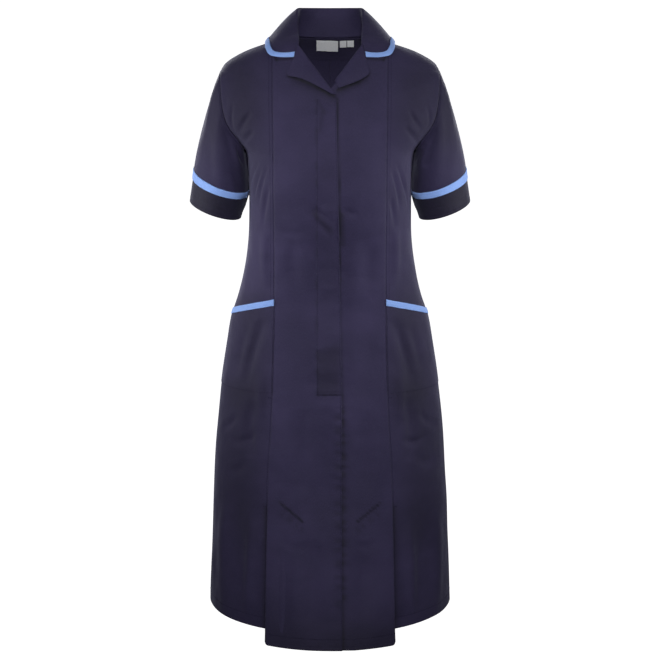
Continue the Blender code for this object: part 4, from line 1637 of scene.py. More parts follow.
@dataclass
class Sleeve:
    """Short set-in sleeve with its turned-up cuff and its trim."""

    room: Workroom
    figure: Figure
    rings: Curve = Curve((
        # ring, outer_x, outer_z, inner_x, inner_z, centre_y, half_depth, front_dip
        (0.0, 0.2452, -0.2345, 0.1462, -0.2720, 0.0200, 0.0660, 0.0110),
        (1.0, 0.2462, -0.2432, 0.1476, -0.2785, 0.0200, 0.0655, 0.0095),
        (2.0, 0.2474, -0.2520, 0.1500, -0.2850, 0.0200, 0.0650, 0.0080),
        (3.0, 0.2508, -0.2730, 0.1556, -0.3052, 0.0205, 0.0636, 0.0066),
        (4.0, 0.2540, -0.2930, 0.1612, -0.3245, 0.0210, 0.0622, 0.0056),
    ))
    head: Curve = Curve((
        # turn, out_x, out_y, out_z, reach_from_armhole, reach_to_cuff
        (0.0, 0.450, 0.000, -0.890, 0.100, 0.120),
        (45.0, 0.650, -0.060, -0.760, 0.075, 0.125),
        (90.0, 0.840, -0.060, -0.540, 0.050, 0.130),
        (135.0, 0.760, 0.000, -0.650, 0.030, 0.060),
        (180.0, 0.220, 0.000, -0.975, 0.020, 0.025),
    ))
    bands: tuple[tuple[float, float, int], ...] = (
        # from ring, to ring, rows
        (0.0, 1.0, 3),
        (1.0, 2.0, 3),
        (2.0, 4.0, 12),
    )
    armhole_gap: float = 0.0003
    columns: int = 120
    head_rows: int = 54
    seam_drop: float = 0.0006
    cuff_layer: float = 0.0006
    cuff_stitch: float = 0.0060
    head_stitch: float = 0.0045
    trim_rise: float = 0.0004
    trim_drop: float = 0.0005
    head_power: float = 1.15
    crease_samples: int = 12
    crease_start: float = 0.010
    creases: Rows = (
        # side, turn, share, turn, share, width, depth
        # folds pressed out against the body under the arm
        (0, 176.0, 0.10, 168.0, 0.95, 0.0090, -0.0072),
        (0, 170.0, 1.00, 172.0, 1.30, 0.0120, -0.0034),
        (0, 262.0, 0.02, 236.0, 0.62, 0.0100, 0.0034),
        (0, 240.0, 0.06, 212.0, 0.50, 0.0070, 0.0030),
        (1, 222.0, 0.10, 200.0, 0.42, 0.0060, 0.0024),
        (-1, 228.0, 0.16, 206.0, 0.52, 0.0065, 0.0026),
        (1, 306.0, 0.30, 276.0, 0.98, 0.0170, 0.0026),
        (-1, 312.0, 0.42, 286.0, 1.05, 0.0150, 0.0024),
        (0, 332.0, 0.12, 318.0, 0.60, 0.0160, -0.0018),
        (1, 250.0, 0.70, 226.0, 1.10, 0.0120, 0.0022),
        (-1, 244.0, 0.64, 216.0, 1.02, 0.0110, 0.0024),
        (0, 104.0, 0.03, 126.0, 0.60, 0.0100, 0.0032),
        (0, 128.0, 0.08, 150.0, 0.52, 0.0070, 0.0028),
        (1, 66.0, 0.36, 88.0, 1.00, 0.0160, 0.0026),
        (-1, 58.0, 0.44, 82.0, 1.06, 0.0170, 0.0024),
        (0, 30.0, 0.20, 40.0, 0.80, 0.0180, -0.0016),
        (1, 112.0, 0.66, 134.0, 1.08, 0.0110, 0.0022),
    )

    def ring(self, ring: Array | float, turn: Array) -> Array:
        """Points of the rings.

        Args:
            ring: row of the table of rings.
            turn: degrees round, 0 at the outer end, going round by the back.

        Returns:
            Points, with x, y and z along the last axis.
        """
        outer_x, outer_z, inner_x, inner_z, centre_y, half_depth, dip = (
            self.rings.at(ring, column) for column in range(1, 8)
        )
        across, around = np.cos(np.radians(turn)), np.sin(np.radians(turn))
        x = (outer_x + inner_x) / 2 + (outer_x - inner_x) / 2 * across
        z = (outer_z + inner_z) / 2 + (outer_z - inner_z) / 2 * across + dip * around
        y = centre_y + half_depth * around
        return np.stack(np.broadcast_arrays(x, y, z), axis=-1)

    def grid(self, side: Side) -> tuple[Grid, int, int]:
        """Whole sleeve, on the wearer's left.

        Args:
            side: side that it is for.

        Returns:
            The grid, the row at the trim's middle and the row at its foot.
        """
        turn = np.linspace(0.0, 360.0, self.columns + 1)
        hand = np.where(turn <= 180.0, 1.0, -1.0)
        round_by = np.where(turn <= 180.0, turn, 360.0 - turn)
        heights = [row[0] for row in self.figure.armhole.rows]
        height = np.interp(round_by / 180.0 * (len(heights) - 1), np.arange(len(heights)), heights)
        leave = unit(np.stack(
            (self.head.at(round_by, 1), -hand * self.head.at(round_by, 2), self.head.at(round_by, 3)), axis=-1
        ))
        back = self.figure.armhole_turn(height, Face.BACK)
        front = self.figure.armhole_turn(height, Face.FRONT)
        seam_turn = np.where(hand > 0, back, front)
        start = self.figure.point(seam_turn, height) + leave * self.armhole_gap
        end = self.ring(0.0, turn)
        start_pull = leave * self.head.at(round_by, 4)[:, None]
        end_pull = unit(self.ring(1.0, turn) - end) * self.head.at(round_by, 5)[:, None]
        t = (np.linspace(0.0, 1.0, self.head_rows) ** self.head_power)[:, None, None]
        crown = hermite(t, start, end, start_pull, end_pull)
        rings = np.concatenate([np.linspace(low, high, rows + 1)[1:] for low, high, rows in self.bands])
        rest = np.stack([self.ring(ring, turn) for ring in rings])
        grid = Grid.through(np.concatenate((crown, rest)), closed=True)
        if grid.normals[0, 0, 0] < 0:
            grid = Grid(grid.points, -grid.normals, True)
        grid.relief = self.relief(grid, side)
        middle = self.head_rows - 1 + self.bands[0][2]
        return grid, middle, middle + self.bands[1][2]

    def relief(self, grid: Grid, side: Side) -> Array:
        """How far the sleeve's creases move each point out.

        Args:
            grid: sleeve without its creases.
            side: side that it is for.

        Returns:
            A distance for each point.
        """
        total = np.zeros(grid.points.shape[:2])
        turns = np.linspace(0.0, 360.0, grid.points.shape[1])
        rows = np.arange(len(grid.points))
        for hand, turn_1, share_1, turn_2, share_2, width, depth in self.creases:
            if hand not in (0, side.value):
                continue
            share = np.linspace(0.0, 1.0, self.crease_samples)
            columns = np.interp(turn_1 + (turn_2 - turn_1) * share, turns, np.arange(len(turns)))
            lines = np.clip((share_1 + (share_2 - share_1) * share) * (self.head_rows - 1), 0, len(rows) - 1)
            path = grid.points[np.round(lines).astype(int), np.round(columns).astype(int)]
            total += trough(grid.points, path, width, depth)
        total *= smooth(grid.down(), 0.0, self.crease_start)
        total[:, -1] = total[:, 0]
        return total

    def build(self) -> None:
        """Both sleeves, with their stitches."""
        ends = (Edge.TOP, Edge.BOTTOM)
        for side in Side:
            word = side.word
            grid, middle, foot = self.grid(side)
            grid = grid.mirrored() if side is Side.RIGHT else grid
            shaped = grid.moved(grid.turned_in((Edge.TOP,), self.seam_drop))
            sleeve = shaped.cut(slice(0, middle + 1))
            self.room.shell(
                f"cloth_sleeve_{word}", f"sleeve_{word}", sleeve, CLOTH, self.room.navy,
                sewn=(Edge.TOP,), rests_on=[f"side_front_{word}", f"back_{word}"],
            )
            cuff = shaped.cut(slice(middle, None))
            self.room.shell(
                f"cloth_cuff_{word}", f"cuff_{word}", cuff, CLOTH + self.cuff_layer, self.room.navy,
                hemmed=True, rests_on=[f"sleeve_{word}"],
            )
            band = shaped.cut(slice(self.head_rows - 1, foot + 1))
            rise = LAYER_GAP + TRIM + self.trim_rise
            trim = band.moved(rise + band.turned_in(ends, self.trim_drop, TRIM_ROLL))
            self.room.shell(
                f"trim_sleeve_{word}", f"sleeve_trim_{word}", trim, TRIM, self.room.blue,
                sewn=ends, held=Held.LAID, rests_on=[f"sleeve_{word}", f"cuff_{word}"],
            )
            self.room.navy_stitches.add(
                sleeve.line(Edge.TOP, self.head_stitch), cuff.line(Edge.BOTTOM, self.cuff_stitch)
            )
            self.room.blue_stitches.add(*(trim.line(edge, TRIM_STITCH) for edge in ends))


@dataclass
class Neck:
    """Collar with its binding, lapels, back neck facing and labels."""

    room: Workroom
    bodice: Bodice
    figure: Figure
    collar_rows: Rows = (
        # seam x, y, z, fold x, y, z, edge_turn, edge_z, roll_radius
        (0.0000, 0.0619, -0.0054, 0.0000, 0.0690, 0.0465, 90.0, -0.0220, 0.0034),
        (0.0300, 0.0588, -0.0048, 0.0280, 0.0655, 0.0467, 70.0, -0.0213, 0.0034),
        (0.0530, 0.0495, -0.0030, 0.0460, 0.0545, 0.0470, 48.0, -0.0190, 0.0034),
        (0.0655, 0.0378, -0.0018, 0.0575, 0.0365, 0.0466, 30.0, -0.0155, 0.0034),
        (0.0722, 0.0205, -0.0006, 0.0592, 0.0180, 0.0395, 12.0, -0.0130, 0.0032),
        (0.0738, 0.0010, 0.0000, 0.0590, 0.0000, 0.0290, -7.0, -0.0130, 0.0030),
        (0.0706, -0.0185, -0.0012, 0.0577, -0.0180, 0.0165, -25.0, -0.0160, 0.0028),
        (0.0660, -0.0350, -0.0035, 0.0560, -0.0360, 0.0045, -42.0, -0.0235, 0.0026),
        (0.0602, -0.0468, -0.0076, 0.0546, -0.0515, -0.0036, -54.0, -0.0320, 0.0026),
        (0.0560, -0.0560, -0.0120, 0.0543, -0.0608, -0.0094, -63.0, -0.0350, 0.0023),
    )
    lapel_right: Curve = Curve((
        # share_of_roll, x, z
        (0.00, 0.0612, -0.0350),
        (0.18, 0.0670, -0.0480),
        (0.36, 0.0732, -0.0633),
        (0.55, 0.0490, -0.0695),
        (0.80, 0.0185, -0.0835),
        (1.00, -0.0065, -0.0966),
    ))
    lapel_left: Curve = Curve((
        # share_of_roll, x, z
        (0.00, 0.0600, -0.0350),
        (0.20, 0.0635, -0.0480),
        (0.42, 0.0668, -0.0600),
        (0.65, 0.0480, -0.0735),
        (0.85, 0.0265, -0.0812),
        (1.00, 0.0128, -0.0862),
    ))
    lapel_foot_left: tuple[float, float] = (0.0064, -0.0745)
    radius_top: float = 0.0020
    radius_foot: float = 0.0013
    roll_start: float = 0.0006
    collar_lift: float = 0.0024
    lapel_lift: float = 0.0050
    roll_step: float = 0.02
    gorge_gap: float = 0.0007
    fall_bow: float = 0.06
    arc_points: int = 5
    fall_shares: tuple[float, ...] = (0.3333, 0.6667, 1.0)
    collar_parts: tuple[int, ...] = (3, 3, 2, 2, 2, 2, 4, 4, 4, 4)
    collar_column_parts: int = 5
    binding_rows: int = 5
    binding: float = 0.0100
    solid_cloth: float = 0.0015
    facing_depth: float = 0.0385
    facing_side_depth: float = 0.0110
    facing_gap: float = 0.0006
    facing_start: float = 3.0
    facing_columns: int = 79
    facing_rows: int = 12
    label_columns: int = 12
    label_rows: int = 8
    facing_cloth: float = 0.0008
    facing_rise: float = -0.0024
    label_cloth: float = 0.0006
    label_rise: float = -0.0040
    trim_rise: float = 0.0012
    trim_drop: float = 0.0007
    lapel_end: float = 0.97
    lapel_columns: int = 34
    lapel_parts: tuple[int, ...] = (2, 2, 2, 2, 2, 2, 4, 4, 4, 4)
    lapel_facing: tuple[float, float, float] = (0.3, -1.0, 0.3)
    labels: tuple[tuple[str, float, float, float, float, float, float], ...] = (
        # name, centre_x, width, top, depth, slope, level_x
        ("neck_label", -0.0050, 0.0390, -0.0085, 0.0195, -0.045, -0.0050),
        ("size_tab_1", 0.0240, 0.0120, -0.0082, 0.0120, 0.060, 0.0310),
        ("size_tab_2", 0.0375, 0.0120, -0.0082, 0.0120, 0.060, 0.0310),
    )

    def section(
        self, seam: Array, fold: Array, edge: Array, outward: Array, along: Array, radius: float
    ) -> list[Array]:
        """Middle of the cloth from its seam up to a fold and down to its outer edge.

        Args:
            seam: where it is sewn on.
            fold: top of the fold.
            edge: outer edge.
            outward: way out from the body.
            along: way along the fold.
            radius: of the fold.

        Returns:
            Points from the seam to the outer edge.
        """
        outward = unit(outward - along * (outward @ along))
        rise = unit(np.cross(along, outward))
        if rise @ (fold - seam) < 0:
            rise = -rise
        centre = fold - rise * radius
        out, up = (edge - centre) @ outward, (edge - centre) @ rise
        leave = math.atan2(up, out) + math.acos(min(radius / math.hypot(out, up), 1.0))
        start = centre - outward * radius
        points = [seam, seam + (start - seam) * 0.5]
        for angle in np.linspace(math.pi, leave, self.arc_points):
            points.append(centre + outward * (math.cos(angle) * radius) + rise * (math.sin(angle) * radius))
        top = points[-1]
        fall = edge - top
        length = float(np.linalg.norm(fall))
        bow = unit(np.cross(fall, along))
        if bow @ outward < 0:
            bow = -bow
        for share in self.fall_shares:
            at = share * (1.0 - self.binding / length)
            points.append(top + fall * at + bow * (self.fall_bow * length * math.sin(math.pi * at)))
        points.append(edge)
        return points

    def front_place(self, x: float, z: float, side: Side) -> tuple[Array, Array]:
        """Point and outward direction of a front where its lapel lies, on the wearer's left.

        Args:
            x: how far to the wearer's left.
            z: height.
            side: which front.

        Returns:
            The point and the direction.
        """
        point, normal = self.figure.front(x, z)
        if side is Side.LEFT:
            point[1] += float(self.bodice.underlap_at(np.asarray(x), np.asarray(z)))
        return point, normal

    def turned_back(self, share: float, side: Side, lift: float) -> tuple[list[Array], Array]:
        """Section of what turns back over a front.

        Args:
            share: of the roll line, 0 at the gorge and 1 at its foot.
            side: which front.
            lift: how far its outer edge stands off the front.

        Returns:
            Points from the seam over the fold to the outer edge, and the way along the roll line.
        """
        right = side is Side.RIGHT
        foot = self.bodice.roll_foot_right if right else self.lapel_foot_left
        foot_x = -foot[0] if right else foot[0]
        top_x, top_z = self.bodice.roll_top

        def roll(at: float) -> tuple[Array, Array]:
            """Point of the roll line, with the front's outward direction there."""
            return self.front_place(top_x + (foot_x - top_x) * at, top_z + (foot[1] - top_z) * at, side)

        radius = self.radius_top + (self.radius_foot - self.radius_top) * share
        point, outward = roll(share)
        along = unit(roll(share + self.roll_step)[0] - roll(share - self.roll_step)[0])
        fold = point + outward * (radius - self.solid_cloth * 0.5)
        table = self.lapel_right if right else self.lapel_left
        edge_point, edge_normal = self.front_place(float(table.at(share, 1)), float(table.at(share, 2)), side)
        edge = edge_point + edge_normal * lift
        rise = unit(np.cross(along, outward))
        rise = -rise if rise[0] > 0 else rise
        seam = fold - rise * (radius + self.roll_start) - outward * radius
        return self.section(seam, fold, edge, outward, along, radius), along

    def gorge_section(self) -> list[Array]:
        """The collar's front end, which meets the lapel's top."""
        section, along = self.turned_back(0.0, Side.RIGHT, self.collar_lift)
        return [place - along * self.gorge_gap for place in section]

    def collar_grid(self) -> Grid:
        """Whole collar: columns from the wearer's right gorge round the back to the left one."""
        rows = self.collar_rows
        gorge = self.gorge_section()
        half = []
        for index, row in enumerate(rows):
            seam, fold = np.array(row[0:3]), np.array(row[3:6])
            turn, edge_z, radius = row[6:9]
            before = np.array(rows[index - 1][3:6]) if index else np.array(rows[1][3:6]) * MIRROR
            after = np.array(rows[index + 1][3:6]) if index + 1 < len(rows) else gorge[4]
            along = unit(after - before)
            level = unit(fold * (1, 1, 0))
            low = min(float(fold[2]), NECK_TOP)
            normal = self.figure.normal(self.figure.turn_at_x(float(fold[0]), low), low)
            weight = (index / len(rows)) ** 2
            outward = level * (1.0 - weight) + normal * weight if fold[1] < 0 else level
            edge = self.figure.point(turn, edge_z) + self.figure.normal(turn, edge_z) * self.collar_lift
            half.append(self.section(seam, fold, edge, outward, along, radius))
        half.append(gorge)
        columns = np.array([[place * MIRROR for place in section] for section in half[:0:-1]] + half)
        finer = refined(columns.swapaxes(0, 1), 1, [self.collar_column_parts] * (len(columns) - 1))
        return Grid.through(refined(finer, 0, self.collar_parts))

    def outside(self, grid: Grid) -> Grid:
        """The same grid with the outward directions of its outer half pointing out.

        Args:
            grid: collar.

        Returns:
            The grid, with its directions turned where they pointed in.
        """
        row = -len(grid.points) // 4
        centre = grid.points[row, grid.points.shape[1] // 2]
        normal = grid.normals[row, grid.points.shape[1] // 2]
        facing = normal @ (centre * (1, 1, 0))
        return Grid(grid.points, -grid.normals) if facing < 0 else grid

    def build(self) -> None:
        """Everything round the neck."""
        self.collar()
        for side in Side:
            self.lapel(side)
        self.facing()

    def collar(self) -> None:
        """Collar with its binding."""
        whole = self.outside(self.collar_grid())
        half = CLOTH * 0.5
        self.room.shell(
            "cloth_collar", "collar", whole.moved(half), CLOTH, self.room.navy,
            sewn=(Edge.TOP,), held=Held.FOLDED, rests_on=["back_right", "back_left"],
        )
        band = whole.cut(slice(-self.binding_rows, None))
        ends = (Edge.TOP, Edge.BOTTOM)
        rise = half + LAYER_GAP + self.trim_rise
        trim = band.moved(rise + band.turned_in(ends, self.trim_drop, TRIM_ROLL))
        self.room.shell(
            "trim_collar", "collar_trim", trim, TRIM, self.room.blue,
            sewn=ends, held=Held.LAID, rests_on=["collar"],
        )
        self.room.blue_stitches.add(trim.line(Edge.TOP, TRIM_STITCH))

    def lapel(self, side: Side) -> None:
        """One lapel, from its seam over the roll to its outer edge.

        Args:
            side: side that it is for.
        """
        shares = np.linspace(0.0, self.lapel_end, self.lapel_columns)
        sections = np.array([self.turned_back(share, side, self.lapel_lift)[0] for share in shares])
        grid = Grid.through(refined(sections, 1, self.lapel_parts))
        flip = np.sign((grid.normals[:, -4] @ np.array(self.lapel_facing)).mean())
        outer = Grid(grid.points, grid.normals * flip).moved(CLOTH * 0.5)
        placed = outer.mirrored() if side is Side.RIGHT else outer
        self.room.shell(
            f"cloth_lapel_{side.word}", f"lapel_{side.word}", placed, CLOTH, self.room.navy,
            held=Held.FOLDED, rests_on=[f"front_{side.word}"],
        )

    def facing(self) -> None:
        """Back neck facing and the bare labels on it."""
        turns = np.linspace(self.facing_start, 180.0 - self.facing_start, self.facing_columns)
        shares = np.linspace(0.0, 1.0, self.facing_rows)[:, None]
        weight = np.sin(np.radians(turns)) ** 2
        depth = self.facing_side_depth + (self.facing_depth - self.facing_side_depth) * weight
        z = self.figure.back_neck(turns) - self.facing_gap - depth * shares
        grid = Grid(self.figure.point(turns, z), self.figure.normal(turns, z)).moved(self.facing_rise)
        self.room.shell(
            "cloth_neck_facing", "back_neck_facing", grid, self.facing_cloth, self.room.navy,
            sewn=(Edge.TOP,), held=Held.LAID, rests_on=["back_right", "back_left"],
        )
        for name, centre, width, top, fall, slope, level_x in self.labels:
            x = np.linspace(centre + width / 2, centre - width / 2, self.label_columns)
            z = np.linspace(top, top - fall, self.label_rows)[:, None] + (x - level_x) * slope
            turn = self.figure.turn_at_x(x, z, Face.BACK)
            grid = Grid(self.figure.point(turn, z), self.figure.normal(turn, z)).moved(self.label_rise)
            self.room.shell(
                f"tape_{name}", name, grid, self.label_cloth, self.room.label,
                sewn=(Edge.TOP,), held=Held.LAID, rests_on=["back_neck_facing"],
            )


@dataclass
class Pleats:
    """Folded returns of the kick pleats behind the centre panel."""

    room: Workroom
    figure: Figure
    top: float = -0.8320
    foot: float = -1.0425
    behind: float = -0.00325
    depth: float = 0.0350
    fold: float = 0.0012
    tuck: float = 0.0050
    edge_gap: float = 0.0015
    rows: int = 44
    parts: tuple[int, ...] = (4, 4, 2, 2, 4, 4, 3)

    def build(self) -> None:
        """Both returns."""
        z = np.linspace(self.top, self.foot, self.rows)
        seam = self.figure.panel_seam.at(z)
        fold_x = seam - self.depth

        def centre(x: Array, lift: float) -> Array:
            """Places behind the centre panel."""
            points, normals = self.figure.front(x, z)
            return points + normals * lift

        def body(x: Array) -> Array:
            """Places behind the side panel."""
            turn = self.figure.turn_at_x(x, z)
            return self.figure.point(turn, z) + self.figure.normal(turn, z) * self.behind

        back = centre(fold_x, self.behind - 2 * self.fold)
        knee, end = body(seam - self.tuck), body(seam + self.tuck)
        columns = [
            centre(seam - self.edge_gap, self.behind),
            centre(seam - self.depth * 0.5, self.behind),
            centre(fold_x, self.behind),
            centre(fold_x - self.fold, self.behind - self.fold),
            back,
            back + (knee - back) * 0.5,
            knee,
            end,
        ]
        points = np.stack(columns, axis=1)
        grid = Grid.through(refined(points, 1, self.parts))
        for side in Side:
            shaped = grid.mirrored() if side is Side.RIGHT else grid
            self.room.shell(
                f"cloth_pleat_{side.word}", f"pleat_{side.word}", shaped.moved(CLOTH * 0.5), CLOTH,
                self.room.navy, hemmed=True, held=Held.FOLDED, rests_on=[f"front_{side.word}"],
            )


@dataclass(frozen=True)
class Studio:
    """White floor and backdrop, soft lights and the camera."""

    camera_place: tuple[float, float, float] = (0.0, -2.9, 0.10)
    pitch: float = 12.26
    lens: float = 88.4
    sensor: float = 36.0
    floor_height: float = -1.60
    floor_size: float = 600.0
    backdrop: float = 1.05
    ambient: float = 0.12
    lights: tuple[tuple[str, float, float, float, float, float, float, float], ...] = (
        # name, x, y, z, aim_z, size, watts, spread in degrees
        ("main", 0.0, -3.20, 0.90, -0.45, 0.50, 4.5, 44.0),
        ("front_right", -0.85, -1.45, 0.10, -0.35, 0.50, 1.0, 80.0),
        ("front_left", 0.85, -1.45, 0.10, -0.35, 0.50, 0.8, 80.0),
        ("side_right", -1.15, -0.12, -0.34, -0.34, 0.36, 1.15, 60.0),
        ("side_left", 1.15, -0.12, -0.34, -0.34, 0.36, 1.05, 60.0),
        ("back_right", -0.85, 1.45, 0.20, -0.35, 0.50, 4.2, 90.0),
        ("back_left", 0.85, 1.45, 0.20, -0.35, 0.50, 3.6, 90.0),
    )

    def build(self) -> None:
        """Everything round the dress."""
        self.floor()
        self.surroundings()
        for name, x, y, z, aim_z, size, watts, spread in self.lights:
            light = bpy.data.lights.new(name, "AREA")
            light.size = size
            light.energy = watts
            light.spread = math.radians(spread)
            lamp = bpy.data.objects.new(name, light)
            lamp.location = (x, y, z)
            lamp.rotation_euler = Vector((-x, -y, aim_z - z)).to_track_quat("-Z", "Y").to_euler()
            lamp.visible_camera = False
            bpy.context.collection.objects.link(lamp)
        camera = bpy.data.objects.new("camera", bpy.data.cameras.new("camera"))
        camera.data.lens = self.lens
        camera.data.sensor_width = self.sensor
        camera.location = self.camera_place
        camera.rotation_euler = (math.radians(90.0 - self.pitch), 0.0, 0.0)
        bpy.context.collection.objects.link(camera)
        bpy.context.scene.camera = camera
        bpy.context.scene.view_settings.view_transform = "Standard"

    def floor(self) -> None:
        """Floor that glows softly, so that it is as white as the backdrop, and sends no light up."""
        bpy.ops.object.select_all(action="DESELECT")
        bpy.ops.mesh.primitive_plane_add(size=self.floor_size, location=(0.0, 0.0, self.floor_height))
        floor = bpy.context.object
        floor.name = "floor"
        floor.data.materials.append(FloorFinish().build())
        floor.visible_diffuse = False
        floor.visible_glossy = False
        floor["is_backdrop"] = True

    def surroundings(self) -> None:
        """White backdrop all round, which lights the dress less than it shows."""
        world = bpy.data.worlds.new("studio")
        world.use_nodes = True
        tree = world.node_tree
        seen = tree.nodes.new("ShaderNodeLightPath").outputs["Is Camera Ray"]
        strength = tree.nodes.new("ShaderNodeMapRange")
        strength.inputs["To Min"].default_value = self.ambient
        strength.inputs["To Max"].default_value = self.backdrop
        tree.links.new(seen, strength.inputs["Value"])
        background = tree.nodes["Background"]
        background.inputs["Color"].default_value = WHITE
        tree.links.new(strength.outputs["Result"], background.inputs["Strength"])
        bpy.context.scene.world = world


